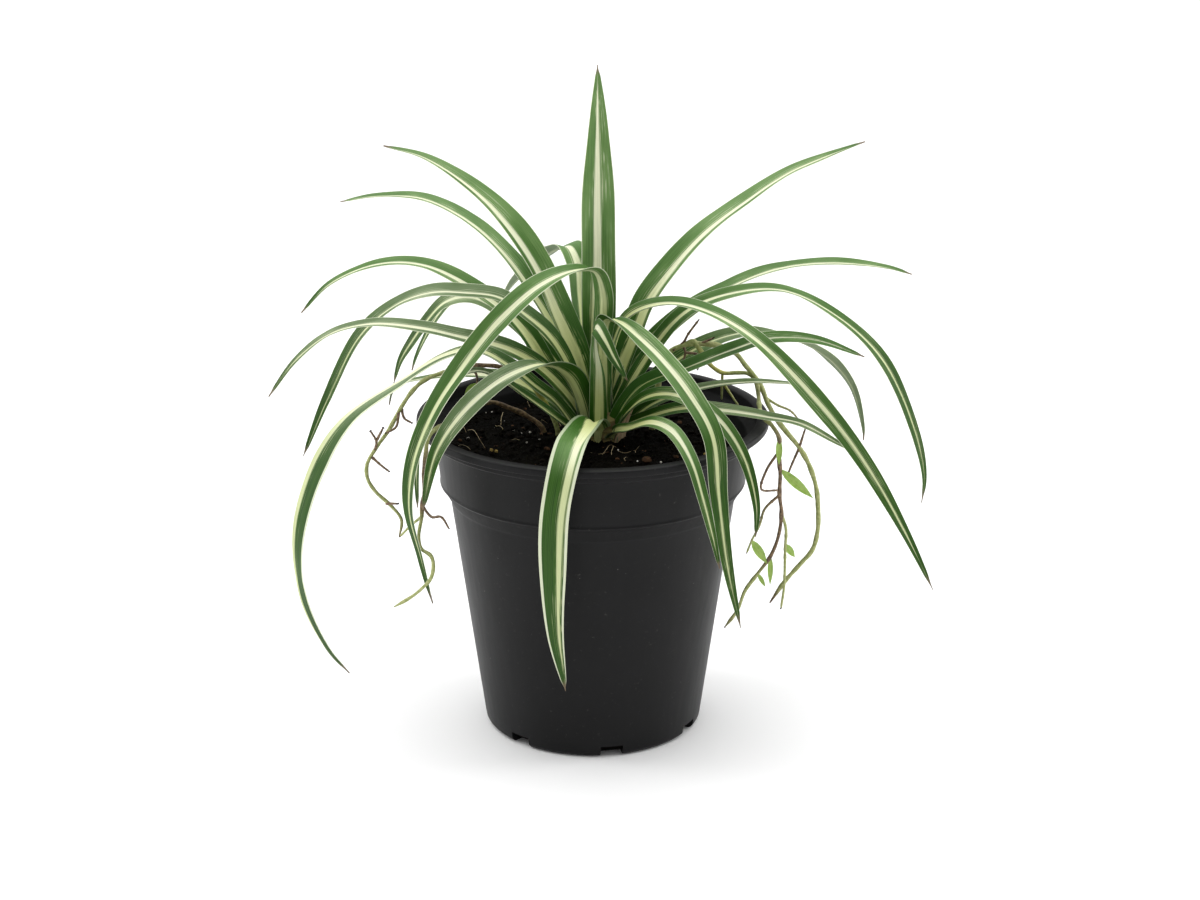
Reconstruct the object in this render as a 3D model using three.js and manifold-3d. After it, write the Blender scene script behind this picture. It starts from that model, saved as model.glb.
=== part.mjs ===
// A young spider plant in a plastic nursery pot: the pot with its drain slots, the soil, the crown of
// sheathing leaf bases, the arching leaves, and the thin woody stems that trail over the rim.
// Millimetres, +Z up. The origin is the centre of the pot's flat underside; the viewer stands at -Y.
import * as THREE from 'three';
import { mergeVertices } from 'three/addons/utils/BufferGeometryUtils.js';
import Module from 'manifold-3d';

const wasm = await Module();
wasm.setup();

const GAP = 0.3; // clearance between pieces that rest on each other
const ROUND_SIDES = 48;
const HOLE_SIDES = 20;
const WELD = 1e-4;

const POT = {
  rimRadius: 70,
  height: 129,
  lipThickness: 2.8,
  lipInnerRadius: 65.2,
  beadRadius: 66.6, // the rounded step under the lip
  beadDrop: 5.7,
  beadSlope: 1.3,
  collarTopRadius: 62.8,
  collarBottomRadius: 60.7,
  collarDrop: 26,
  bodyTopRadius: 57,
  bodyTopDrop: 33,
  baseRadius: 44,
  wall: 1.7,
  floor: 2.2,
  edge: 0.7, // small bevel of the lip and of the collar
  footEdge: 1.5,
};

const DRAIN_SLOT = { count: 7, width: 9, height: 4.5, depth: 6, firstAngle: -80 };

const SOIL = {
  level: 117.5,
  bump: 1.2, // height of its unevenness
  broadWave: 5.5, // millimetres per radian of its broad and fine unevenness
  fineWave: 2.4,
  rings: [1, 0.84, 0.68, 0.52, 0.36, 0.18, 0], // shares of the radius where its top is sectioned
  holeDepth: 12,
};

// The short stem that carries the leaves, set in a hole of the soil.
const CROWN = {
  x: 3,
  y: 8,
  radius: 11,
  neckRadius: 8.8,
  neckHeight: 8.4,
  dome: 14, // height of its top above the soil
  foot: 10, // depth of its foot in the soil
  holeRadius: 15.5,
};

const BLADE = {
  rootThickness: 1.1,
  tipThickness: 0.7,
  sheathThickness: 1.5,
  rootKeel: 32, // degrees that each half of the blade is raised from flat
  tipKeel: 10,
  rootWidth: 0.62, // share of the full width
  sheathFlare: 0.4, // share of the full width that the clasping foot is wider still
  flareLength: 24,
  tipHalfWidth: 0.5,
  fullFrom: 0.28, // share of the length where the full width starts
  fullTo: 0.5, // and where the taper to the tip starts
  taper: 2.1, // power of the taper: above 1, it narrows most towards the tip
  step: 16, // longest stretch between two sections
  turn: 0.35, // most bend, in radians, between two sections
};

// Each leaf keeps to one upright plane, set by hand after the photographed plant.
// heading: the compass direction it leans in, in degrees from +X towards +Y.
// roll: twist of the blade about its midrib, in degrees, at equal steps from root to tip.
// sheath: how far along its length the leaf is still one with the crown.
// root: where it stands from the crown's axis, [x, y].
// arch: the midrib from root to tip, [out, up] from that root and from the soil's level. A third value is
// how far aside of the plane it bows.
const LEAVES = {
  leaf_left_1: {
    heading: 152, width: 10.5, roll: [-60, -50, -40, -25, -8, -10], sheath: 38, root: [-4, 1],
    arch: [[0, -5], [1, 8], [4, 29], [13, 50], [24, 70], [36, 84], [52, 96], [74, 106], [95, 109]],
  },
  leaf_left_2: {
    heading: 140, width: 8, roll: [-30, -30, -14, 4, -12, -28], sheath: 36, root: [-1, 0],
    arch: [[3, -5], [5, 12], [13, 27], [23, 44], [32, 54], [45, 66], [64, 77], [92, 84], [121, 81],
      [144, 75]],
  },
  leaf_left_3: {
    heading: 162, width: 8.5, roll: [-50, -44, -28, -12, -18, -50], sheath: 34,
    arch: [[6, -5], [9, 3], [14, 14], [21, 25], [34, 44], [53, 57], [74, 65], [94, 64], [116, 54],
      [130, 40]],
  },
  leaf_left_4: {
    heading: 180, width: 7.5, roll: [-50, -40, -30, -18, -50, -85], sheath: 36, root: [-1.5, -3.3],
    arch: [[4, -5], [6, 8], [10, 28], [18, 43], [29, 53], [38, 59], [52, 61], [65, 61], [79, 56],
      [94, 43], [108, 16], [118, -8]],
  },
  leaf_left_5: {
    heading: 192, width: 8.5, roll: [-60, -56, -38, -15, 0, -35], sheath: 30, root: [-1, 0],
    arch: [[5, -5], [7, 9], [21, 28], [35, 38], [56, 45], [70, 49], [90, 52], [106, 49], [120, 39],
      [131, 25]],
  },
  leaf_left_6: {
    heading: 203, width: 8.5, sheath: 26, root: [-1, -2],
    roll: [-60, -56, -45, -12, 0, -14, -42, -40, -20, -32, -45],
    arch: [[6, -5], [9, 3], [18, 17], [27, 25], [36, 33], [51, 42], [64, 41], [81.6, 32.7], [103.8, 20.2],
      [117, 2], [125.5, -24], [124.5, -50], [115.5, -73], [107, -85]],
  },
  leaf_left_7: {
    heading: 152, width: 7, roll: [-40, -30, -15, -10], sheath: 22,
    arch: [[7, -5], [10, 1], [18, 9], [30, 15], [41, 18], [62, 17], [80, 13], [95, 8], [99, 4],
      [101, -2]],
  },
  leaf_back_1: {
    heading: 148, width: 8, roll: [-45, -30, -25, -70, -90], sheath: 30, root: [-2, 4],
    arch: [[4, -5], [8, 10], [18, 24], [38, 40], [58, 48], [73, 44], [84, 33], [91, 24], [97, 15],
      [101, 4]],
  },
  leaf_back_2: {
    heading: 132, width: 7, roll: [-30, -25, -45, -70, -85], sheath: 26, root: [0, 4],
    arch: [[4, -5], [7, 8], [16, 18], [38, 34], [60, 43], [82, 42], [95, 36], [104, 28], [112, 18],
      [120, 6], [124, -2]],
  },
  leaf_back_3: {
    heading: 118, width: 12, roll: [-10, 0, 0, -20], sheath: 36, root: [-2, 11],
    arch: [[-2, -5], [3, 20], [12, 53], [15, 64], [22, 70], [31, 68], [44, 62], [72, 45], [89, 31]],
  },
  leaf_centre: {
    heading: 95, width: 15, roll: [6, 6, 10, 28], sheath: 38, root: [-1, 10],
    arch: [[-1, -5], [0, 40], [1, 90], [0, 124], [-2, 148]],
  },
  leaf_fold_left: {
    heading: 219, width: 9.5, roll: [60, 50, 0, -40, -14, 2, -10], sheath: 36, root: [-4, -4.3],
    arch: [[-3, -5], [-5, 20], [-6, 44], [-6, 60], [-2, 69], [8, 71], [25, 68], [44, 58], [62, 43],
      [76, 28], [86, 10], [89, -9], [84, -31], [79, -51]],
  },
  leaf_front: {
    heading: 260, width: 12, roll: [0, -5, -10, -10], sheath: 18, root: [0, -6],
    arch: [[0, -5], [4, 6], [16, 13], [34, 17], [56, 19], [68, 18], [77, 11, -1], [81, -4, -3],
      [82, -28, -3.5], [80, -52, -3], [76, -76, 0]],
  },
  leaf_front_left_1: {
    heading: 224, width: 9.5, roll: [50, 30, -20, -35, -35], sheath: 30, root: [-1, -2.4],
    arch: [[2, -5], [4, 6], [8, 19], [13, 28], [21, 34], [32, 37], [52, 35], [73, 25], [85, 13],
      [92, -8]],
  },
  leaf_front_left_2: {
    heading: 198, width: 5.5, roll: [-50, -30, 0, -20, -40], sheath: 22, root: [0, -2],
    arch: [[7, -5], [10, 2, 2], [24, 15.5, 9], [35, 24.5, 8.5], [43, 30.8, 7.5], [52, 34.8, 6.5],
      [59.8, 32.8, 6.5], [66.5, 26.5, 8], [73, 19.5, 11], [77.6, 9.5, 12.2], [79.4, -3.2, 13.5],
      [79.6, -16.5, 14.2]],
  },
  leaf_fold_front: {
    heading: -55, width: 8, roll: [-30, -20, 0, 45, 60, 55], sheath: 28, root: [-1, -9.7],
    arch: [[0, -5], [1, 10], [2, 30, -1], [1, 44, -2.5], [3, 49.5, -3], [8, 46.5, -3], [14, 39, -2],
      [20, 31]],
  },
  leaf_right_1: {
    heading: 30, width: 10, roll: [55, 40, 24, 5, 4, 10], sheath: 38, root: [7, 4.5],
    arch: [[-2, -5], [-1, 12], [1, 26], [6, 39], [12.5, 53.5], [24.5, 66.5], [39.5, 78.5], [59, 89], [79, 98],
      [98, 103], [118, 107]],
  },
  leaf_right_2: {
    heading: 21, width: 8, roll: [50, 50, 50, 2, 0, 18, 38], sheath: 38, root: [0.5, 0.5],
    arch: [[4, -5], [6, 12], [17, 32], [30, 44], [50, 55], [72, 62], [99, 63], [127, 58],
      [138, 54]],
  },
  leaf_right_3: {
    heading: -2, width: 8.5, roll: [60, 62, 30, 10, 28, 50, 65], sheath: 32, root: [2, -1],
    arch: [[3, -5], [5, 10], [16, 32], [32, 52], [51, 60], [71, 61], [94, 49], [111, 31.5], [124, 3],
      [128.5, -16], [128, -27]],
  },
  leaf_right_4: {
    heading: -27, width: 8.5, roll: [70, 45, 12, 18, 58, 58, 35], sheath: 40, root: [8, 2],
    arch: [[-3, -5], [-4, 14], [-4, 32], [3, 49], [20, 57], [38, 56], [59, 47], [88, 23], [106, 3],
      [123, -22], [135, -43]],
  },
  leaf_right_5: {
    heading: -8, width: 7.5, roll: [60, 45, 32, 32, 40], sheath: 26, root: [2, -5.5],
    arch: [[4, -5], [5, 10], [14, 23], [31, 31], [51, 40], [65, 45], [83, 45], [102, 39]],
  },
  leaf_right_6: {
    heading: 28, width: 8, roll: [45, 50, 15, -30, -10], sheath: 24,
    arch: [[6, -5], [9, 6], [24, 20], [46, 31], [68, 34], [89, 29], [108, 18], [121, 3], [127, -15],
      [128, -22]],
  },
  leaf_right_7: {
    heading: -2, width: 6, roll: [40, 30, 5, 5], sheath: 20,
    arch: [[7, -5], [10, 3], [20, 13], [38, 20], [57, 23.2], [76, 23], [84, 22]],
  },
  leaf_right_8: {
    heading: -22, width: 6.5, roll: [40, 40, 30, 15, 35], sheath: 22,
    arch: [[6, -5], [9, 3], [18, 9], [36, 16], [52, 17], [70, 16.5], [84, 15.5], [99, 9.5], [105, 7]],
  },
  leaf_fold_right: {
    heading: -55, width: 9, roll: [-45, -40, 20, 30, 25, 25], sheath: 32, root: [4, -8],
    arch: [[-3, -5], [-5, 10], [-5, 28], [-5, 42], [-2, 50], [5, 51], [16, 49], [36, 42], [54, 32],
      [67, 20], [71, -2], [77, -28], [86, -51]],
  },
  leaf_front_right_1: {
    heading: -64, width: 6, roll: [40, 40, 20, 20], sheath: 18,
    arch: [[7, -5], [11, 4], [27, 11], [46, 19], [64, 20], [78, 13], [87, 2], [97, -14],
      [101, -22]],
  },
  leaf_front_right_2: {
    heading: -45, width: 6.2, roll: [50, 50, 40, 40], sheath: 26, root: [0, -1.2],
    arch: [[7, -5], [10, 7], [22, 20], [36, 26], [50, 26], [64, 22], [77, 10], [84, -8], [84, -21]],
  },
};

// Thin woody stems. Each branch runs through [x, y, z] points, and thins from its first radius to its last.
// Leaflets are [foot, tip, width].
const STEMS = {
  stem_left_outer: {
    hole: [-14, 6],
    branches: [
      { radii: [1, 0.65], points: [[-14, 6, 108], [-14, 6, 120], [-20, 7, 133], [-28, 6, 143],
        [-36, 5, 147], [-46, 4, 148], [-57, 3, 146], [-66, 2, 143], [-71, 1, 139], [-76, 0, 132],
        [-81, -1, 123], [-86, -2, 116], [-90, -3, 109], [-90, -3, 103], [-87, -2, 97], [-81, -2, 91],
        [-77, -2, 85], [-78, -3, 78]] },
      { radii: [0.6, 0.4], points: [[-76, 0, 132], [-75, 1, 127], [-72, 1, 125]] },
      { radii: [0.6, 0.4], points: [[-77, -1, 130], [-78, -4, 125], [-82, -6, 123]] },
      { radii: [0.6, 0.4], points: [[-87, -2, 114], [-86, -4, 119], [-88, -6, 124]] },
      { radii: [0.6, 0.4], points: [[-86, -4, 119], [-83, -5, 125]] },
      { radii: [0.6, 0.4], points: [[-88, -3, 112], [-84, -5, 109], [-81, -6, 107]] },
      { radii: [0.6, 0.4], points: [[-83, -2, 92], [-78, -5, 93]] },
      { radii: [0.6, 0.4], points: [[-48, 4, 148], [-46, 3, 144], [-46, 3, 140]] },
    ],
    leaflets: [[[-46, 3, 141], [-51, 2, 135], 3.8]],
  },
  stem_left_inner: {
    hole: [-20, 8],
    branches: [
      { radii: [1, 0.6], points: [[-20, 8, 108], [-20, 8, 120], [-27, 8, 126], [-34, 6, 130],
        [-40, 3, 133], [-48, -6, 133], [-54, -18, 132], [-60, -30, 133], [-63, -36, 131],
        [-64, -38, 125], [-65, -38, 117], [-65, -37, 109], [-66, -37, 104], [-66, -39, 100],
        [-67, -43, 94], [-66, -47, 90], [-62, -50, 88], [-61, -52, 85], [-62, -53, 80],
        [-66, -52, 75], [-70, -50, 71], [-77, -48, 66]] },
      { radii: [0.6, 0.4], points: [[-66, -39, 100], [-70, -37, 96], [-75, -34, 90]] },
      { radii: [0.6, 0.4], points: [[-66, -37, 104], [-62, -42, 101], [-58, -45, 102],
        [-55, -47, 98]] },
    ],
    leaflets: [],
  },
  stem_right: {
    hole: [24, 14],
    branches: [
      { radii: [1.1, 0.8], points: [[24, 14, 108], [24, 14, 119], [26, 14, 135], [30, 13, 150],
        [36, 12, 154], [43, 11, 155], [51, 11, 154], [57, 11, 151], [61, 11, 146], [65, 11, 141],
        [68, 10, 136], [70, 9, 131], [74, 8, 124], [78, 7, 119], [83, 6, 113], [87, 5, 106],
        [90, 4, 97], [91, 3, 88], [91, 2, 79], [89, 1, 71], [84, 0, 65], [78, -1, 58],
        [72, -2, 49]] },
      { radii: [0.9, 0.65], points: [[36, 12, 154], [40, 11, 156], [43, 11, 152], [46, 12, 147],
        [52, 14, 142], [58, 14, 142], [62, 13, 142], [65, 12, 140], [66, 6, 136], [66, 0, 134],
        [66, -7, 133], [66, -14, 133], [70, -17, 130], [73, -18, 125], [73, -17, 119], [74, -15, 109],
        [74, -14, 100], [75, -13, 92], [74, -13, 82], [71, -14, 74], [66, -15, 67], [61, -16, 60],
        [58, -17, 52], [53, -18, 45]] },
      { radii: [0.65, 0.5], points: [[75, -13, 92], [77, -12, 85], [77, -11, 76], [77, -10, 59],
        [76, -10, 50]] },
      { radii: [0.6, 0.4], points: [[69, 10, 133], [74, 9, 130], [79, 8, 128], [82, 8, 125]] },
      { radii: [0.6, 0.4], points: [[32, 12, 152], [36, 12, 155], [38, 11, 159], [42, 10, 165]] },
      { radii: [0.6, 0.4], points: [[43, 11, 155], [48, 9, 158]] },
      { radii: [0.6, 0.4], points: [[36, 12, 154], [37, 12, 151], [36, 12, 147]] },
      { radii: [0.6, 0.4], points: [[37, 12, 151], [42, 12, 150], [42, 12, 144]] },
      { radii: [0.6, 0.4], points: [[52, 14, 142], [52, 15, 137], [52, 16, 130]] },
      { radii: [0.6, 0.4], points: [[52, 15, 138], [59, 16, 127]] },
      { radii: [0.6, 0.4], points: [[73, -17, 119], [68, -22, 113], [66, -24, 106], [73, -20, 104]] },
      { radii: [0.6, 0.4], points: [[74, -14, 100], [68, -17, 95], [66, -19, 89], [63, -20, 83],
        [61, -21, 78]] },
      { radii: [0.6, 0.4], points: [[83, 6, 113], [85, 5, 121]] },
      { radii: [0.6, 0.4], points: [[83, 6, 113], [80, 3, 107], [78, 2, 102]] },
    ],
    leaflets: [
      [[74, -15, 111], [87, -18, 100], 3.8],
      [[63, -20, 83], [69, -22, 74], 3.6],
      [[71, -14, 74], [71, -15, 62], 2.2],
      [[77, -11, 78], [81, -10, 72], 2.8],
      [[66, -15, 67], [69, -17, 62], 1.8],
      [[73, -18, 125], [73, -21, 115], 2.6],
    ],
  },
};

const STEM_SIDES = 6;
const TWIG_SIDES = 4;
const STEM_STEP = 8;
const STEM_HOLE_CLEARANCE = 1;

const LEAFLET = {
  thickness: 0.7,
  facing: [0, -1, 0.3],
  outline: [[0, 0.2], [0.3, 0.9], [0.55, 0.85], [0.8, 0.45], [1, 0.12]], // shares of length and width
};

const LOOKS = {
  pot: { color: 0x26282a, roughness: 0.45 },
  soil: { color: 0x2b211a, roughness: 0.95 },
  crown: { color: 0x8d9a4c, roughness: 0.6 },
  leaf: { color: 0x4f7a3a, roughness: 0.5 },
  stem: { color: 0x6b4a35, roughness: 0.8 },
};

const radians = THREE.MathUtils.degToRad;
const mix = THREE.MathUtils.lerp;

// ---- solids -------------------------------------------------------------------------------------------

function asSolid(geometry) {
  const bare = geometry.clone();
  bare.deleteAttribute('normal');
  bare.deleteAttribute('uv');
  const welded = mergeVertices(bare, WELD);
  const mesh = new wasm.Mesh({
    numProp: 3,
    vertProperties: new Float32Array(welded.attributes.position.array),
    triVerts: new Uint32Array(welded.index.array),
  });
  return new wasm.Manifold(mesh);
}

function asGeometry(solid) {
  const mesh = solid.getMesh();
  const geometry = new THREE.BufferGeometry();
  geometry.setAttribute('position', new THREE.BufferAttribute(new Float32Array(mesh.vertProperties), 3));
  geometry.setIndex(new THREE.BufferAttribute(new Uint32Array(mesh.triVerts), 1));
  geometry.computeVertexNormals();
  return geometry;
}

/** One body from many. A hollow that this seals inside is filled, and a loose scrap is dropped. */
function fuse(solids) {
  const bodies = solids.reduce((joined, next) => joined.add(next)).decompose();
  return bodies.reduce((largest, body) => (body.volume() > largest.volume() ? body : largest));
}

function fromTriangles(points, triangles) {
  const geometry = new THREE.BufferGeometry();
  geometry.setFromPoints(points);
  geometry.setIndex(triangles.flat());
  return asSolid(geometry);
}

/** A closed strip of two faces, upper and under, each a row of points at every station. */
function slab(rows) {
  const across = rows[0].upper.length;
  const points = rows.flatMap((row) => [...row.upper, ...row.under]);
  const at = (station, side, column) => (2 * station + side) * across + column;
  const triangles = [];
  const quad = (a, b, c, d) => triangles.push([a, b, c], [a, c, d]);
  for (let i = 0; i + 1 < rows.length; i += 1) {
    for (let j = 0; j + 1 < across; j += 1) {
      quad(at(i, 0, j), at(i + 1, 0, j), at(i + 1, 0, j + 1), at(i, 0, j + 1));
      quad(at(i + 1, 1, j + 1), at(i + 1, 1, j), at(i, 1, j), at(i, 1, j + 1));
    }
    quad(at(i, 1, 0), at(i + 1, 1, 0), at(i + 1, 0, 0), at(i, 0, 0));
    quad(at(i, 0, across - 1), at(i + 1, 0, across - 1), at(i + 1, 1, across - 1), at(i, 1, across - 1));
  }
  const last = rows.length - 1;
  for (let j = 0; j + 1 < across; j += 1) {
    quad(at(0, 1, j), at(0, 0, j), at(0, 0, j + 1), at(0, 1, j + 1));
    quad(at(last, 0, j), at(last, 1, j), at(last, 1, j + 1), at(last, 0, j + 1));
  }
  return fromTriangles(points, triangles);
}

/** A closed tube of flat-capped rings along a curve. */
function tube({ points, radii }, sides) {
  const route = points.map((point) => new THREE.Vector3(...point));
  const curve = new THREE.CatmullRomCurve3(route, false, 'centripetal');
  const count = Math.max(2, Math.round(curve.getLength() / STEM_STEP));
  const frames = curve.computeFrenetFrames(count, false);
  const corners = [];
  for (let i = 0; i <= count; i += 1) {
    const centre = curve.getPointAt(i / count);
    const radius = mix(radii[0], radii[1], i / count);
    for (let k = 0; k < sides; k += 1) {
      const angle = (2 * Math.PI * k) / sides;
      corners.push(centre.clone()
        .addScaledVector(frames.normals[i], radius * Math.cos(angle))
        .addScaledVector(frames.binormals[i], radius * Math.sin(angle)));
    }
  }
  const triangles = [];
  for (let i = 0; i < count; i += 1) {
    for (let k = 0; k < sides; k += 1) {
      const next = (k + 1) % sides;
      const [a, b] = [i * sides + k, i * sides + next];
      triangles.push([a, b, b + sides], [a, b + sides, a + sides]);
    }
  }
  for (let k = 1; k + 1 < sides; k += 1) {
    triangles.push([0, k + 1, k], [count * sides, count * sides + k, count * sides + k + 1]);
  }
  return fromTriangles(corners, triangles);
}

function turned(profile) {
  const points = profile.map(([radius, height]) => new THREE.Vector2(radius, height));
  return new THREE.LatheGeometry(points, ROUND_SIDES).rotateX(Math.PI / 2);
}

function post(x, y, radius, bottom, top) {
  const geometry = new THREE.CylinderGeometry(radius, radius, top - bottom, HOLE_SIDES);
  return asSolid(geometry.rotateX(Math.PI / 2).translate(x, y, (bottom + top) / 2));
}

// ---- pot and soil -------------------------------------------------------------------------------------

/** The cavity's wall, [radius, height] from the floor to under the lip. */
function potInside() {
  const beadHeight = POT.height - POT.beadDrop;
  return [
    [POT.baseRadius - POT.wall, POT.floor],
    [POT.bodyTopRadius - POT.wall, POT.height - POT.bodyTopDrop],
    [POT.collarBottomRadius - POT.wall, POT.height - POT.collarDrop],
    [POT.collarTopRadius - POT.wall, beadHeight - POT.beadSlope],
    [POT.lipInnerRadius, beadHeight + POT.beadSlope],
  ];
}

function potOutside() {
  const { height, rimRadius, edge } = POT;
  const lipBottom = height - POT.lipThickness;
  return [
    [0, 0],
    [POT.baseRadius - POT.footEdge, 0],
    [POT.baseRadius, POT.footEdge],
    [POT.bodyTopRadius, height - POT.bodyTopDrop],
    [POT.collarBottomRadius - edge, height - POT.collarDrop - 2 * edge],
    [POT.collarBottomRadius, height - POT.collarDrop],
    [POT.collarTopRadius, height - POT.beadDrop - POT.beadSlope],
    [POT.beadRadius, height - POT.beadDrop],
    [POT.beadRadius, lipBottom],
    [rimRadius - edge, lipBottom],
    [rimRadius, lipBottom + edge],
    [rimRadius, height - edge],
    [rimRadius - edge, height],
    [POT.lipInnerRadius + edge, height],
    [POT.lipInnerRadius, height - edge],
  ];
}

function pot() {
  let solid = asSolid(turned([...potOutside(), ...potInside().reverse(), [0, POT.floor]]));
  for (let k = 0; k < DRAIN_SLOT.count; k += 1) {
    const angle = radians(DRAIN_SLOT.firstAngle + (360 / DRAIN_SLOT.count) * k);
    const reach = DRAIN_SLOT.depth * 2;
    const cutter = new THREE.BoxGeometry(reach, DRAIN_SLOT.width, DRAIN_SLOT.height * 2)
      .translate(POT.baseRadius - DRAIN_SLOT.depth + reach / 2, 0, 0)
      .rotateZ(angle);
    solid = solid.subtract(asSolid(cutter));
  }
  return asGeometry(solid);
}

function soilBump(x, y) {
  const broad = Math.sin(x / SOIL.broadWave + 0.6) * Math.cos(y / SOIL.broadWave - 0.4);
  const fine = Math.sin((x - y / 2) / SOIL.fineWave) * Math.sin((x / 2 + y) / SOIL.fineWave + 1);
  return (SOIL.bump * (broad + fine)) / 2;
}

function soil() {
  const low = potInside().filter(([, height]) => height < SOIL.level);
  const [belowRadius, belowHeight] = low[low.length - 1];
  const [aboveRadius, aboveHeight] = potInside()[low.length];
  const rise = (SOIL.level - belowHeight) / (aboveHeight - belowHeight);
  const edge = mix(belowRadius, aboveRadius, rise) - GAP;
  const wall = low.map(([radius, height]) => [radius - GAP, height + GAP]);
  const top = SOIL.rings.map((share) => [edge * share, SOIL.level]);
  const geometry = turned([[0, POT.floor + GAP], ...wall, ...top]);
  const place = geometry.attributes.position;
  for (let i = 0; i < place.count; i += 1) {
    const [x, y] = [place.getX(i), place.getY(i)];
    const inwards = 1 - (Math.hypot(x, y) / edge) ** 4;
    if (Math.abs(place.getZ(i) - SOIL.level) < GAP) {
      place.setZ(i, SOIL.level + soilBump(x, y) * inwards);
    }
  }
  const bottom = SOIL.level - SOIL.holeDepth;
  const above = SOIL.level + 3 * SOIL.bump;
  let solid = asSolid(geometry).subtract(post(CROWN.x, CROWN.y, CROWN.holeRadius, bottom, above));
  for (const { hole, branches } of Object.values(STEMS)) {
    solid = solid.subtract(post(...hole, branches[0].radii[0] + STEM_HOLE_CLEARANCE, bottom, above));
  }
  return asGeometry(solid);
}

// ---- leaves -------------------------------------------------------------------------------------------

function archCurve({ heading, arch, root = [0, 0] }) {
  const [towardsX, towardsY] = [Math.cos(radians(heading)), Math.sin(radians(heading))];
  const points = arch.map(([out, up, aside = 0]) => new THREE.Vector3(
    CROWN.x + root[0] + out * towardsX - aside * towardsY,
    CROWN.y + root[1] + out * towardsY + aside * towardsX,
    SOIL.level + up,
  ));
  return new THREE.CatmullRomCurve3(points, false, 'centripetal');
}

/** Lengths along the curve where it is sectioned, closer together where it bends. */
function stations(curve, start, end) {
  const probes = 120;
  const total = curve.getLength();
  const effort = [0];
  let before = curve.getTangentAt(start / total);
  for (let i = 1; i <= probes; i += 1) {
    const along = mix(start, end, i / probes);
    const tangent = curve.getTangentAt(Math.min(1, along / total));
    const stretch = (end - start) / probes / BLADE.step + tangent.angleTo(before) / BLADE.turn;
    effort.push(effort[i - 1] + stretch);
    before = tangent;
  }
  const count = Math.max(2, Math.ceil(effort[probes]));
  const places = [start];
  for (let k = 1; k < count; k += 1) {
    const wanted = (effort[probes] * k) / count;
    const i = effort.findIndex((value) => value >= wanted);
    places.push(mix(start, end, i / probes));
  }
  return [...places, end];
}

function halfWidth(share, along, width) {
  const opening = THREE.MathUtils.smoothstep(share, 0, BLADE.fullFrom);
  const closing = Math.max(0, share - BLADE.fullTo) / (1 - BLADE.fullTo);
  const flare = BLADE.sheathFlare * (1 - THREE.MathUtils.smoothstep(along, 0, BLADE.flareLength));
  const full = (width / 2) * (mix(BLADE.rootWidth, 1, opening) + flare);
  return mix(full, BLADE.tipHalfWidth, closing ** BLADE.taper);
}

/** The value at a share of the way through a list of equally spaced values. */
function between(values, share) {
  const place = share * (values.length - 1);
  const before = Math.min(values.length - 2, Math.floor(place));
  return mix(values[before], values[before + 1], place - before);
}

/** The stretch of a leaf from start to end, in millimetres along its arch. */
function blade(leaf, start, end, extraThickness = 0) {
  const curve = archCurve(leaf);
  const length = curve.getLength();
  const level = new THREE.Vector3(-Math.sin(radians(leaf.heading)), Math.cos(radians(leaf.heading)), 0);
  const rows = stations(curve, start, end).map((along) => {
    const share = Math.min(1, along / length);
    const centre = curve.getPointAt(share);
    const tangent = curve.getTangentAt(share);
    const roll = radians(between(leaf.roll, share));
    const side = level.clone().applyAxisAngle(tangent, roll);
    const face = tangent.clone().cross(side);
    const half = halfWidth(share, along, leaf.width);
    const keel = radians(mix(BLADE.rootKeel, BLADE.tipKeel, share));
    const thickness = mix(BLADE.rootThickness, BLADE.tipThickness, share) + extraThickness;
    const upper = [-1, 0, 1].map((edge) => centre.clone()
      .addScaledVector(side, edge * half * Math.cos(keel))
      .addScaledVector(face, Math.abs(edge) * half * Math.sin(keel)));
    const under = upper.map((point) => point.clone().addScaledVector(face, -thickness));
    return { upper, under };
  });
  return slab(rows);
}

function leaf(name) {
  const shape = LEAVES[name];
  return asGeometry(blade(shape, shape.sheath, archCurve(shape).getLength()));
}

/** The short stem at the soil with every leaf's sheathing base fused to it. */
function crown() {
  const core = turned([
    [0, SOIL.level - CROWN.foot],
    [CROWN.radius, SOIL.level - CROWN.foot],
    [CROWN.radius, SOIL.level],
    [CROWN.neckRadius, SOIL.level + CROWN.neckHeight],
    [0, SOIL.level + CROWN.dome],
  ]);
  const sheaths = Object.values(LEAVES).map((shape) => (
    blade(shape, 0, shape.sheath - GAP, BLADE.sheathThickness - BLADE.rootThickness)
  ));
  return asGeometry(fuse([asSolid(core.translate(CROWN.x, CROWN.y, 0)), ...sheaths]));
}

// ---- trailing stems -----------------------------------------------------------------------------------

/** A small pointed leaf whose upper face looks at the viewer. */
function leaflet([foot, tip, width]) {
  const from = new THREE.Vector3(...foot);
  const along = new THREE.Vector3(...tip).sub(from);
  const side = new THREE.Vector3(...LEAFLET.facing).cross(along).normalize();
  const face = along.clone().cross(side).normalize();
  const rows = LEAFLET.outline.map(([share, spread]) => {
    const centre = from.clone().addScaledVector(along, share);
    const half = (spread * width) / 2;
    const upper = [-1, 0, 1].map((edge) => centre.clone().addScaledVector(side, edge * half));
    const under = upper.map((point) => point.clone().addScaledVector(face, -LEAFLET.thickness));
    return { upper, under };
  });
  return slab(rows);
}

function stem(name) {
  const { branches, leaflets } = STEMS[name];
  const [main, ...twigs] = branches;
  const wood = [tube(main, STEM_SIDES), ...twigs.map((twig) => tube(twig, TWIG_SIDES))];
  return asGeometry(fuse([...wood, ...leaflets.map(leaflet)]));
}

// ---- assembly -----------------------------------------------------------------------------------------

function piece(name, geometry, look) {
  const mesh = new THREE.Mesh(geometry, new THREE.MeshStandardMaterial({ ...look, metalness: 0 }));
  mesh.name = name;
  return mesh;
}

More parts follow.
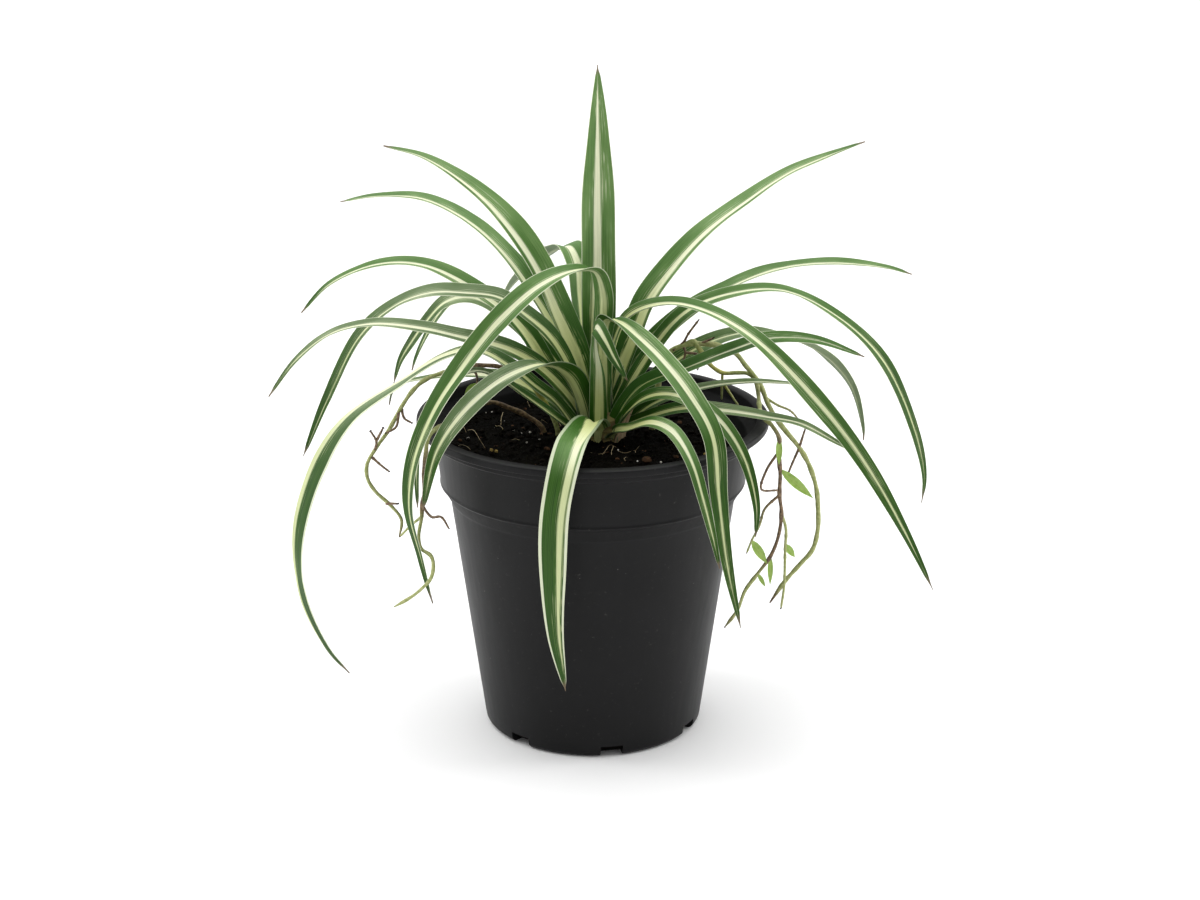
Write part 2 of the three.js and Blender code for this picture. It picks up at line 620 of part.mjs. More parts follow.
const plant = new THREE.Group();
plant.add(piece('pot', pot(), LOOKS.pot));
plant.add(piece('soil', soil(), LOOKS.soil));
plant.add(piece('crown', crown(), LOOKS.crown));
for (const name of Object.keys(LEAVES)) {
  plant.add(piece(name, leaf(name), LOOKS.leaf));
}
for (const name of Object.keys(STEMS)) {
  plant.add(piece(name, stem(name), LOOKS.stem));
}

export default plant;
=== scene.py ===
import math
import random
from collections import namedtuple
from functools import partialmethod
from itertools import combinations, product
from types import SimpleNamespace as Sizes

import bpy
import numpy as np
from mathutils import Matrix, Vector, noise


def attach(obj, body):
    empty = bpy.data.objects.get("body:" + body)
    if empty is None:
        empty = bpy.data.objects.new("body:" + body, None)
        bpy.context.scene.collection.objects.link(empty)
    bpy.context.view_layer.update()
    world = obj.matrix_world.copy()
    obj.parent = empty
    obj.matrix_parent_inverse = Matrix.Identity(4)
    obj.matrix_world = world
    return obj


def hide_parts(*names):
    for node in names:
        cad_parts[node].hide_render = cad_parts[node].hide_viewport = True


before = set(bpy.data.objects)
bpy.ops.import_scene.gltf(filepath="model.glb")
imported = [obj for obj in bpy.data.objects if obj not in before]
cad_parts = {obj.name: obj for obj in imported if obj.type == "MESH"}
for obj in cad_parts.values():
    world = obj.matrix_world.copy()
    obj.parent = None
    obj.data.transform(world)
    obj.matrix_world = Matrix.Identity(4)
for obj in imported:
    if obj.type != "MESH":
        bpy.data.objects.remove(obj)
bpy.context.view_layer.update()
SCENE = bpy.context.scene

MM = 0.001

# ---- sizes ----

POT = Sizes(
    rim_radius=70, height=129, lip_thickness=2.8, lip_inner_radius=65.2, bead_radius=66.6, bead_drop=5.7,
    bead_slope=1.3, collar_top_radius=62.8, collar_bottom_radius=60.7, collar_drop=26, body_top_radius=57,
    body_top_drop=33, base_radius=44, wall=1.7, floor=2.2, foot_edge=1.5,
)
BEAD = POT.height - POT.bead_drop
COLLAR_BOTTOM = POT.height - POT.collar_drop
BODY_TOP = POT.height - POT.body_top_drop
DRAIN_SLOT = Sizes(count=7, width=9, height=4.5, depth=6, first_angle=-80)
SOIL = Sizes(level=117.5, bump=1.2, broad_wave=5.5, fine_wave=2.4, gap=0.3, mound=1.8, mound_width=15,
             sink=0.4)
CROWN = Sizes(x=3, y=8, radius=11, neck_radius=8.8, neck_height=8.4, dome=14, foot=5)
BLADE = Sizes(
    root_keel=32, tip_keel=10, root_width=0.62, sheath_flare=0.4, flare_length=24,
    tip_half_width=0.5, full_from=0.28, full_to=0.5, taper=2.1,
    root_thickness=1.1, thickness=0.5, tip_thickness=0.3, thins_over=22,
    rib=0.22, rib_width=0.12, fold_softness=0.14, edge_droop=0.14, sink=0.3,
    ripple=0.09, wobble=2.5, uneven=0.02, tip_pinch=0.75,
)
CLASP = Sizes(widening=1.2, keel=22, length=14)  # how the feet of the blades wrap the crown
COLUMNS = 18  # quads across a blade
SIDES = Sizes(pot=224, soil=300, crown=96, stem=10, fibre=6)
ROW_STEP = 1.5  # millimetres between two rows of a blade

# A leaf keeps to one upright plane: heading in degrees from +X towards +Y, width, root from the crown's
# axis, roll about the midrib at equal steps, and arch as (out, up, aside) from the root and the soil's
# level. Its marks lie across it from -1 to 1: the fold with the pale stripe, which goes from foot_rib at
# the root to rib over the shift in millimetres, half the stripe's width, foot_stripe times wider at the
# root, and the pale margins. The table leaves leaf_ off the nodes' names.
Leaf = namedtuple(
    "Leaf", "heading width root roll arch"
    " style foot_rib rib shift stripe foot_stripe low_margin high_margin",
    defaults=("striped", 0, 0, (10, 60), 0.22, 2.3, 0.04, 0.04))
LEAVES = {
    "left_1": Leaf(152, 10.5, (-4, 1), [-60, -50, -40, -25, -8, -10], [(0, -5), (1, 8), (4, 29), (13, 50),
        (24, 70), (36, 84), (52, 96), (74, 106), (95, 109)], rib=0.45),
    "left_2": Leaf(140, 8, (-1, 0), [-30, -30, -14, 4, -12, -28], [(3, -5), (5, 12), (13, 27), (23, 44),
        (32, 54), (45, 66), (64, 77), (92, 84), (121, 81), (144, 75)], rib=0.5, stripe=0.2),
    "left_3": Leaf(162, 8.5, (0, 0), [-50, -44, -28, -12, -18, -50], [(6, -5), (9, 3), (14, 14), (21, 25),
        (34, 44), (53, 57), (74, 65), (94, 64), (116, 54), (130, 40)], rib=0.2),
    "left_4": Leaf(180, 7.5, (-1.5, -3.3), [-50, -40, -30, -18, -50, -85], [(4, -5), (6, 8), (10, 28),
        (18, 43), (29, 53), (38, 59), (52, 61), (65, 61), (79, 56), (94, 43), (108, 16), (118, -8)],
        style="painted_sheen", rib=0.25, stripe=0.12, foot_stripe=3.4),
    "left_5": Leaf(192, 8.5, (-1, 0), [-60, -56, -38, -15, 0, -35], [(5, -5), (7, 9), (21, 28), (35, 38),
        (56, 45), (70, 49), (90, 52), (106, 49), (120, 39), (131, 25)], style="painted_sheen", foot_stripe=1.7),
    "left_6": Leaf(203, 8.5, (-1, -2), [-60, -56, -45, -12, 0, -14, -42, -40, -20, -32, -45], [(6, -5),
        (9, 3), (18, 17), (27, 25), (36, 33), (51, 42), (64, 41), (81.6, 32.7), (103.8, 20.2), (117, 2),
        (125.5, -24), (124.5, -50), (115.5, -73), (107, -85)], style="painted_sheen", rib=-0.82, shift=(50, 105),
        stripe=0.34, foot_stripe=0.5, high_margin=0.2),
    "left_7": Leaf(152, 7, (0, 0), [-40, -30, -15, -10], [(7, -5), (10, 1), (18, 9), (30, 15), (41, 18),
        (62, 17), (80, 13), (95, 8), (99, 4), (101, -2)], style="narrow"),
    "back_1": Leaf(148, 8, (-2, 4), [-45, -30, -25, -70, -90], [(4, -5), (8, 10), (18, 24), (38, 40),
        (58, 48), (73, 44), (84, 33), (91, 24), (97, 15), (101, 4)], style="narrow"),
    "back_2": Leaf(132, 7, (0, 4), [-30, -25, -45, -70, -85], [(4, -5), (7, 8), (16, 18), (38, 34),
        (60, 43), (82, 42), (95, 36), (104, 28), (112, 18), (120, 6), (124, -2)], style="narrow"),
    "back_3": Leaf(118, 12, (-2, 11), [-10, 0, 0, -20], [(-2, -5), (3, 20), (12, 53), (15, 64), (22, 70),
        (31, 68), (44, 62), (72, 45), (89, 31)]),
    "centre": Leaf(95, 15, (-1, 10), [6, 6, 10, 28], [(-1, -5), (0, 40), (1, 90), (0, 124), (-2, 148)]),
    "fold_left": Leaf(219, 9.5, (-4, -4.3), [60, 50, 0, -40, -14, 2, -10], [(-3, -5), (-5, 20), (-6, 44),
        (-6, 60), (-2, 69), (8, 71), (25, 68), (44, 58), (62, 43), (76, 28), (86, 10), (89, -9), (84, -31),
        (79, -51)], rib=0.1),
    "front": Leaf(260, 12, (0, -6), [0, -5, -10, -10], [(0, -5), (4, 6), (16, 13), (34, 17), (56, 19),
        (68, 18), (77, 11, -1), (81, -4, -3), (82, -28, -3.5), (80, -52, -3), (76, -76, 0)], rib=0.45,
        low_margin=0.22, high_margin=0.2),
    "front_left_1": Leaf(224, 9.5, (-1, -2.4), [50, 30, -20, -35, -35], [(2, -5), (4, 6), (8, 19), (13, 28),
        (21, 34), (32, 37), (52, 35), (73, 25), (85, 13), (92, -8)], style="painted_sheen", foot_rib=-0.45,
        shift=(34, 64), foot_stripe=1.8),
    "front_left_2": Leaf(198, 5.5, (0, -2), [-50, -30, 0, -20, -40], [(7, -5), (10, 2, 2), (24, 15.5, 9),
        (35, 24.5, 8.5), (43, 30.8, 7.5), (52, 34.8, 6.5), (59.8, 32.8, 6.5), (66.5, 26.5, 8),
        (73, 19.5, 11), (77.6, 9.5, 12.2), (79.4, -3.2, 13.5), (79.6, -16.5, 14.2)], style="painted_sheen",
        foot_stripe=0.8),
    "fold_front": Leaf(-55, 8, (-1, -9.7), [-30, -20, 0, 45, 60, 55], [(0, -5), (1, 10), (2, 30, -1),
        (1, 44, -2.5), (3, 49.5, -3), (8, 46.5, -3), (14, 39, -2), (20, 31)], style="dark"),
    "right_1": Leaf(30, 10, (7, 4.5), [55, 40, 24, 5, 4, 10], [(-2, -5), (-1, 12), (1, 26), (6, 39),
        (12.5, 53.5), (24.5, 66.5), (39.5, 78.5), (59, 89), (79, 98), (98, 103), (118, 107)], rib=-0.4),
    "right_2": Leaf(21, 8, (0.5, 0.5), [50, 50, 50, 2, 0, 18, 38], [(4, -5), (6, 12), (17, 32), (30, 44),
        (50, 55), (72, 62), (99, 63), (127, 58), (138, 54)], rib=-0.5),
    "right_3": Leaf(-2, 8.5, (2, -1), [60, 62, 30, 10, 28, 50, 65], [(3, -5), (5, 10), (16, 32), (32, 52),
        (51, 60), (71, 61), (94, 49), (111, 31.5), (124, 3), (128.5, -16), (128, -27)], rib=0.1,
        stripe=0.14),
    "right_4": Leaf(-27, 8.5, (8, 2), [70, 45, 12, 18, 58, 58, 35], [(-3, -5), (-4, 14), (-4, 32), (3, 49),
        (20, 57), (38, 56), (59, 47), (88, 23), (106, 3), (123, -22), (135, -43)]),
    "right_5": Leaf(-8, 7.5, (2, -5.5), [60, 45, 32, 32, 40], [(4, -5), (5, 10), (14, 23), (31, 31),
        (51, 40), (65, 45), (83, 45), (102, 39)], style="dark", stripe=0.1, foot_stripe=0.4),
    "right_6": Leaf(28, 8, (0, 0), [45, 50, 15, -30, -10], [(6, -5), (9, 6), (24, 20), (46, 31), (68, 34),
        (89, 29), (108, 18), (121, 3), (127, -15), (128, -22)], style="narrow", stripe=0.12,
        foot_stripe=1.0),
    "right_7": Leaf(-2, 6, (0, 0), [40, 30, 5, 5], [(7, -5), (10, 3), (20, 13), (38, 20), (57, 23.2),
        (76, 23), (84, 22)], style="narrow", foot_stripe=1.0),
    "right_8": Leaf(-22, 6.5, (0, 0), [40, 40, 30, 15, 35], [(6, -5), (9, 3), (18, 9), (36, 16), (52, 17),
        (70, 16.5), (84, 15.5), (99, 9.5), (105, 7)], style="narrow", foot_stripe=1.2),
    "fold_right": Leaf(-55, 9, (4, -8), [-45, -40, 20, 30, 25, 25], [(-3, -5), (-5, 10), (-5, 28), (-5, 42),
        (-2, 50), (5, 51), (16, 49), (36, 42), (54, 32), (67, 20), (71, -2), (77, -28), (86, -51)]),
    "front_right_1": Leaf(-64, 6, (0, 0), [40, 40, 20, 20], [(7, -5), (11, 4), (27, 11), (46, 19), (64, 20),
        (78, 13), (87, 2), (97, -14), (101, -22)]),
    "front_right_2": Leaf(-45, 6.2, (0, -1.2), [50, 50, 40, 40], [(7, -5), (10, 7), (22, 20), (36, 26),
        (50, 26), (64, 22), (77, 10), (84, -8), (84, -21)], foot_stripe=1.1),
}

# Branches are the first and last radius with the points they run through, twigs the points alone, and
# leaflets foot, tip and width. Green says how green a branch is from foot to tip: the rest are brown.
Stem = namedtuple("Stem", "branches twigs leaflets green")
TWIG_RADII = (0.6, 0.4)
STEMS = {
    "stem_left_outer": Stem(
        [((1, 0.65), [(-14, 6, 108), (-14, 6, 120), (-20, 7, 133), (-28, 6, 143), (-36, 5, 147),
          (-46, 4, 148), (-57, 3, 146), (-66, 2, 143), (-71, 1, 139), (-76, 0, 132), (-81, -1, 123),
          (-86, -2, 116), (-90, -3, 109), (-90, -3, 103), (-87, -2, 97), (-81, -2, 91), (-77, -2, 85),
          (-78, -3, 78)])],
        [[(-76, 0, 132), (-75, 1, 127), (-72, 1, 125)], [(-77, -1, 130), (-78, -4, 125), (-82, -6, 123)],
         [(-87, -2, 114), (-86, -4, 119), (-88, -6, 124)], [(-86, -4, 119), (-83, -5, 125)],
         [(-88, -3, 112), (-84, -5, 109), (-81, -6, 107)], [(-83, -2, 92), (-78, -5, 93)],
         [(-48, 4, 148), (-46, 3, 144), (-46, 3, 140)]],
        [((-46, 3, 141), (-51, 2, 135), 3.8)],
        {0: [0.3, 0.6, 1.3, 1, 0.1, 0, 0.7, 1, 1, 1, 1, 1, 0.8, 0.4]}),
    "stem_left_inner": Stem(
        [((1, 0.6), [(-20, 8, 108), (-20, 8, 120), (-27, 8, 126), (-34, 6, 130), (-40, 3, 133),
          (-48, -6, 133), (-54, -18, 132), (-60, -30, 133), (-63, -36, 131), (-64, -38, 125),
          (-65, -38, 117), (-65, -37, 109), (-66, -37, 104), (-66, -39, 100), (-67, -43, 94),
          (-66, -47, 90), (-62, -50, 88), (-61, -52, 85), (-62, -53, 80), (-66, -52, 75), (-70, -50, 71),
          (-77, -48, 66)])],
        [[(-66, -39, 100), (-70, -37, 96), (-75, -34, 90)],
         [(-66, -37, 104), (-62, -42, 101), (-58, -45, 102), (-55, -47, 98)]],
        [],
        {0: [0, 0, 0.1, 0.3, 0.4, 0.2, 0.9, 0.1, 0.2, 1, 1, 1, 0.8], 1: [0.9, 0.7]}),
    "stem_right": Stem(
        [((1.1, 0.8), [(24, 14, 108), (24, 14, 119), (26, 14, 135), (30, 13, 150), (36, 12, 154),
          (43, 11, 155), (51, 11, 154), (57, 11, 151), (61, 11, 146), (65, 11, 141), (68, 10, 136),
          (70, 9, 131), (74, 8, 124), (78, 7, 119), (83, 6, 113), (87, 5, 106), (90, 4, 97), (91, 3, 88),
          (91, 2, 79), (89, 1, 71), (84, 0, 65), (78, -1, 58), (72, -2, 49)]),
         ((0.9, 0.65), [(36, 12, 154), (40, 11, 156), (43, 11, 152), (46, 12, 147), (52, 14, 142),
          (58, 14, 142), (62, 13, 142), (65, 12, 140), (66, 6, 136), (66, 0, 134), (66, -7, 133),
          (66, -14, 133), (70, -17, 130), (73, -18, 125), (73, -17, 119), (74, -15, 109), (74, -14, 100),
          (75, -13, 92), (74, -13, 82), (71, -14, 74), (66, -15, 67), (61, -16, 60), (58, -17, 52),
          (53, -18, 45)]),
         ((0.65, 0.5), [(75, -13, 92), (77, -12, 85), (77, -11, 76), (77, -10, 59), (76, -10, 50)])],
        [[(69, 10, 133), (74, 9, 130), (79, 8, 128), (82, 8, 125)],
         [(32, 12, 152), (36, 12, 155), (38, 11, 159), (42, 10, 165)], [(43, 11, 155), (48, 9, 158)],
         [(36, 12, 154), (37, 12, 151), (36, 12, 147)], [(37, 12, 151), (42, 12, 150), (42, 12, 144)],
         [(52, 14, 142), (52, 15, 137), (52, 16, 130)], [(52, 15, 138), (59, 16, 127)],
         [(73, -17, 119), (68, -22, 113), (66, -24, 106), (73, -20, 104)],
         [(74, -14, 100), (68, -17, 95), (66, -19, 89), (63, -20, 83), (61, -21, 78)],
         [(83, 6, 113), (85, 5, 121)], [(83, 6, 113), (80, 3, 107), (78, 2, 102)]],
        [((74, -15, 111), (87, -18, 100), 3.8), ((63, -20, 83), (69, -22, 74), 3.6),
         ((71, -14, 74), (71, -15, 62), 2.2), ((77, -11, 78), (81, -10, 72), 2.8),
         ((66, -15, 67), (69, -17, 62), 1.8), ((73, -18, 125), (73, -21, 115), 2.6)],
        {0: [0.3, 0.5, 1, 0.9, 0.6, 0.9, 1, 1, 1, 1, 1, 1, 0.9, 0.2],
         1: [0.8, 1.2, 1.2, 0.8, 0.5, 0.8, 0.6, 0.1, 0, 0, 0, 0.2, 0.8, 0.9, 0.5], 2: [0.8, 1, 1, 0.7],
         3: [0.8, 0.5], 8: [1.2, 1], 9: [1.2, 1], 11: [0.3, 0.8]}),
}

# ---- curves and meshes ----

def unit(rows):
    return rows / np.maximum(np.linalg.norm(rows, axis=-1, keepdims=True), 1e-12)


def catmull_rom(points, per_segment=24):
    """A centripetal Catmull-Rom curve through the points, as the frame's leaves and stems follow it."""
    p = np.asarray(points, float)
    p = np.vstack([2 * p[0] - p[1], p, 2 * p[-1] - p[-2]])
    t = np.linspace(0, 1, per_segment, endpoint=False)[:, None]
    pieces = []
    for a, b, c, d in zip(p, p[1:], p[2:], p[3:]):
        before, here, after = (math.sqrt(np.linalg.norm(e)) for e in (b - a, c - b, d - c))
        leaving = ((b - a) / before - (c - a) / (before + here) + (c - b) / here) * here
        arriving = ((c - b) / here - (d - b) / (here + after) + (d - c) / after) * here
        bend = -3 * b + 3 * c - 2 * leaving - arriving
        twist = 2 * b - 2 * c + leaving + arriving
        pieces.append(b + leaving * t + bend * t ** 2 + twist * t ** 3)
    return np.vstack([*pieces, p[-2:-1]])


def evenly(points, step):
    """Points at equal lengths along a smooth curve, and how far along each one is."""
    line = catmull_rom(points)
    along = np.concatenate([[0], np.cumsum(np.linalg.norm(np.diff(line, axis=0), axis=1))])
    places = np.linspace(0, along[-1], max(4, round(along[-1] / step)) + 1)
    return np.stack([np.interp(places, along, line[:, k]) for k in range(3)], 1), places


def turned_about(rows, axes, angles):
    cosine, sine = np.cos(angles)[:, None], np.sin(angles)[:, None]
    across = axes * np.sum(axes * rows, 1, keepdims=True)
    return rows * cosine + np.cross(axes, rows) * sine + across * (1 - cosine)


def smoothstep(x, low, high):
    t = np.clip((np.asarray(x, float) - low) / (high - low), 0, 1)
    return t * t * (3 - 2 * t)


def ring_quads(rings, sides):
    """Quads between closed rings of points that are stored ring by ring."""
    i, k = np.meshgrid(np.arange(rings - 1) * sides, np.arange(sides), indexing="ij")
    following = (k + 1) % sides
    quads = np.stack([i + k, i + following, i + sides + following, i + sides + k], -1)
    return quads.reshape(-1, 4).tolist()


def strap(upper, under):
    """Points and faces of a thin closed strap between two grids of points, its under side's faces last."""
    rows, wide = upper.shape[:2]
    below, last, right = rows * wide, (rows - 1) * wide, wide - 1
    i, j = np.arange(rows - 1) * wide, np.arange(right)
    corner = (i[:, None] + j).ravel()
    top = np.stack([corner, corner + wide, corner + wide + 1, corner + 1], 1)
    faces = [top, np.stack([i, below + i, below + i + wide, i + wide], 1),
             np.stack([i + right, i + right + wide, below + i + right + wide, below + i + right], 1),
             np.stack([j, j + 1, below + j + 1, below + j], 1),
             np.stack([last + j, below + last + j, below + last + j + 1, last + j + 1], 1),
             (below + top)[:, ::-1]]
    return np.concatenate([upper.reshape(-1, 3), under.reshape(-1, 3)]), np.concatenate(faces)


def new_mesh(name, points, faces):
    """A mesh from points in millimetres."""
    mesh = bpy.data.meshes.new(name)
    mesh.from_pydata((np.asarray(points) * MM).tolist(), [], [list(map(int, f)) for f in faces])
    return mesh


def placed(name, data):
    """A new object in the scene."""
    made = bpy.data.objects.new(name, data)
    SCENE.collection.objects.link(made)
    return made


def add_piece(name, points, faces, materials, replaced=(), crease=40):
    """A piece of the part on its body, smooth but for edges sharper than crease degrees."""
    mesh = new_mesh(name, points, faces)
    mesh.validate()
    for made in materials:
        mesh.materials.append(made)
    mesh.shade_smooth()
    mesh.set_sharp_from_angle(angle=math.radians(crease))
    piece = placed(name, mesh)
    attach(piece, "root")
    if replaced:
        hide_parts(*replaced)
    return piece


def add_uv(piece, name, across, along):
    """A strap's UV map, the same on its two sides."""
    corners = np.empty(len(piece.data.loops), int)
    piece.data.loops.foreach_get("vertex_index", corners)
    side = np.stack(np.broadcast_arrays(across, along), -1).reshape(-1, 2)
    layer = piece.data.uv_layers.new(name=name)
    layer.data.foreach_set("uv", np.tile(side, (2, 1))[corners].astype(np.float32).ravel())


def add_values(piece, name, per_point):
    layer = piece.data.attributes.new(name, "FLOAT", "POINT")
    layer.data.foreach_set("value", np.asarray(per_point, np.float32))


# ---- material nodes ----

class Nodes:
    """A node tree, with a short call for each kind of node."""

    def __init__(self, name, kept_in=bpy.data.materials):
        self.owner = kept_in.new(name)
        self.owner.use_nodes = True
        self.tree = self.owner.node_tree

    def feed(self, socket, value):
        if isinstance(value, bpy.types.NodeSocket):
            self.tree.links.new(value, socket)
        else:
            socket.default_value = value

    def node(self, kind, inputs=(), **settings):
        """The outputs of a new node."""
        made = self.tree.nodes.new("ShaderNode" + kind)
        for key, value in settings.items():
            setattr(made, key, value)
        for key, value in dict(inputs).items():
            self.feed(made.inputs[key], value)
        return made.outputs

    def math(self, operation, *values, **settings):
        return self.node("Math", enumerate(values), operation=operation, **settings)[0]

    plus = partialmethod(math, "ADD")
    minus = partialmethod(math, "SUBTRACT")
    times = partialmethod(math, "MULTIPLY")
    size = partialmethod(math, "ABSOLUTE")

    def ramp(self, value, low, high, to_low=0, to_high=1, kind="SMOOTHSTEP"):
        """A step from to_low where the value is low to to_high where it is high."""
        inputs = {"Value": value, "From Min": low, "From Max": high, "To Min": to_low, "To Max": to_high}
        return self.node("MapRange", inputs, interpolation_type=kind)["Result"]

    def mix(self, share, first, second):
        # 6 and 7 are the two inputs for colours, and 2 is the output for them.
        return self.node("Mix", {0: share, 6: first, 7: second}, data_type="RGBA")[2]

    def step(self, value, first, second, low=0.35, high=0.65):
        """The first colour where the value is low, the second where it is high."""
        return self.mix(self.ramp(value, low, high), first, second)

    def place(self):
        return self.node("TexCoord")["Object"]

    def noise(self, scale, detail=3, roughness=0.5, place=None):
        inputs = {"Vector": place or self.place(), "Scale": scale, "Detail": detail, "Roughness": roughness}
        return self.node("TexNoise", inputs)["Fac"]

    def cells(self, scale):
        return self.node("TexVoronoi", {"Vector": self.place(), "Scale": scale})["Distance"]

    def uv(self, name):
        parts = self.node("SeparateXYZ", {"Vector": self.node("UVMap", uv_map=name)[0]})
        return parts["X"], parts["Y"]

    def streaks(self, fineness, stretch, detail):
        """Noise that is drawn out along a blade."""
        aside, along = self.uv("Millimetres")
        parts = {"X": self.times(aside, fineness), "Y": self.times(along, stretch)}
        return self.noise(1, detail, place=self.node("CombineXYZ", parts)[0])

    def attribute(self, name):
        return self.node("Attribute", attribute_name=name)["Fac"]

    def surface(self, shown, rough, height=None, distance=0, strength=1, gloss=0.5):
        """The material, from its colour, roughness, bump height and depth in metres, and specular level."""
        inputs = self.tree.nodes["Principled BSDF"].inputs
        self.feed(inputs["Base Color"], shown)
        self.feed(inputs["Roughness"], rough)
        inputs["Specular IOR Level"].default_value = gloss
        if height:
            depth = {"Height": height, "Distance": distance, "Strength": strength}
            self.feed(inputs["Normal"], self.node("Bump", depth)[0])
        return self.owner


def rgb(*screen):
    """A linear colour from its 0 to 255 screen values."""
    shares = [value / 255 for value in screen]
    return (*(s / 12.92 if s <= 0.04045 else ((s + 0.055) / 1.055) ** 2.4 for s in shares), 1)


# ---- leaf materials ----

VEINS = 17  # across a blade
# The second style's grey greens are painted sheen: the grazing gloss of its blades put into their colour.
LEAF_STYLES = {  # green, and its paler streaks
    "striped": (rgb(78, 116, 52), rgb(108, 142, 80)), "painted_sheen": (rgb(86, 110, 66), rgb(122, 142, 102)),
    "narrow": (rgb(86, 112, 62), rgb(120, 142, 96)), "dark": (rgb(60, 98, 40), rgb(84, 122, 58)),
}
# Painted shade where a blade hangs down: the second cream here and the first two greens below. The darkest
# green also draws the dark lengthwise lines.
CREAM, CREAM_PAINTED_SHADE, CREAM_LOW = rgb(240, 242, 208), rgb(214, 222, 168), rgb(222, 228, 160)
DARK_LINE_AND_SHADE_GREEN, PAINTED_SHADE_PALE, FOOT_GREEN = rgb(34, 70, 10), rgb(54, 92, 24), rgb(40, 86, 8)
MARGIN, UNDER = rgb(222, 228, 198), rgb(156, 168, 138)
FOOT, TIP_BROWN = rgb(128, 118, 70), rgb(128, 112, 92)
HAIRLINES = ((0.11, 0.5, 0.42), (0.3, 0.4, 0.5), (0.52, 0.25, 0.5))  # away from the stripe, strength, where


def leaf_material(name, green, pale, under):
    """Stripe, veins and margins across the blade, deeper green at its foot, and painted shade, a deeper
    green and duller cream, where it hangs down.
    """
    made = Nodes(name)
    across, share = made.uv("Blade")
    _, along = made.uv("Millimetres")
    from_rib, width, edge, hanging_shade = map(made.attribute, ("from_rib", "stripe_width", "edge", "hanging_shade"))
    streak, lines = made.streaks(3.2, 0.035, 4), made.streaks(7, 0.02, 2)
    broad, fine = made.streaks(0.12, 0.03, 3), made.streaks(2, 0.6, 3)
    wave = made.math("SINE", made.times(across, VEINS * 2 * math.pi))
    veins = made.times(made.ramp(wave, 0.2, 1), 0.1)
    jitter = made.times(made.minus(streak, 0.5), 0.3)
    foot_share = made.times(made.ramp(along, 36, 98, 1, 0), made.ramp(share, 0.28, 0.55, 1, 0))

    lighter = made.times(made.minus(streak, 0.35), 0.6, use_clamp=True)
    # Painted shade: deeper greens and a duller cream where the blade hangs down.
    painted_shade_green = made.step(streak, DARK_LINE_AND_SHADE_GREEN, PAINTED_SHADE_PALE)
    green = made.mix(lighter, made.step(broad, green, pale), pale)
    green = made.mix(foot_share, made.mix(hanging_shade, green, painted_shade_green), FOOT_GREEN)
    green = made.mix(made.ramp(lines, 0.54, 0.64, 0, 0.45), made.mix(veins, green, pale), DARK_LINE_AND_SHADE_GREEN)
    cream = made.mix(foot_share, made.mix(hanging_shade, CREAM, CREAM_PAINTED_SHADE), CREAM_LOW)
    cream = made.mix(made.ramp(lines, 0.57, 0.65, 0, 0.25), made.mix(veins, cream, pale), pale)

    from_stripe = made.minus(made.plus(made.size(from_rib), jitter), width)
    shown = made.mix(made.ramp(from_stripe, -0.07, 0.07, 0.7 if under else 0.96, 0), green, cream)
    for away, strength, patchy in HAIRLINES:
        off = made.size(made.minus(from_stripe, away))
        hair = made.times(made.ramp(off, 0.008, 0.03, strength, 0), made.ramp(broad, patchy, patchy + 0.12))
        shown = made.mix(hair, shown, cream)
    margin = made.ramp(made.plus(edge, made.times(jitter, 0.2)), -0.015, 0.02)
    shown = made.mix(made.times(margin, made.ramp(along, 40, 105, 0.3, 1)), shown, MARGIN)
    if under:
        shown = made.mix(made.ramp(along, 62, 112, 0, 0.42), shown, UNDER)
    shown = made.mix(made.ramp(along, 3, 11, 0.7, 0), shown, FOOT)
    shown = made.step(made.plus(share, made.times(fine, 0.012)), shown, TIP_BROWN, 0.975, 0.998)

    ridges = made.plus(made.times(wave, 0.5), made.times(streak, 1.2))
    rough = made.ramp(streak, 0.3, 0.7, *((0.5, 0.62) if under else (0.4, 0.52)))
    return made.surface(shown, rough, ridges, 0.00006, 0.8, gloss=0.22)


def dry_material():
    """Papery dead sheath: pinkish brown, fibrous, spotted."""
    made = Nodes("dry_sheath")
    fibre = made.streaks(2.2, 0.12, 5)
    shown = made.step(fibre, rgb(206, 188, 152), rgb(172, 140, 110), 0.3, 0.7)
    shown = made.step(made.noise(700), shown, rgb(74, 48, 34), 0.6, 0.7)
    return made.surface(shown, 0.72, fibre, 0.0003)


# ---- blades ----

def half_widths(share, along, width):
    opening = smoothstep(share, 0, BLADE.full_from)
    closing = np.maximum(0, share - BLADE.full_to) / (1 - BLADE.full_to)
    flare = BLADE.sheath_flare * (1 - smoothstep(along, 0, BLADE.flare_length))
    full = width / 2 * (BLADE.root_width + (1 - BLADE.root_width) * opening + flare)
    return full + (BLADE.tip_half_width - full) * closing ** BLADE.taper


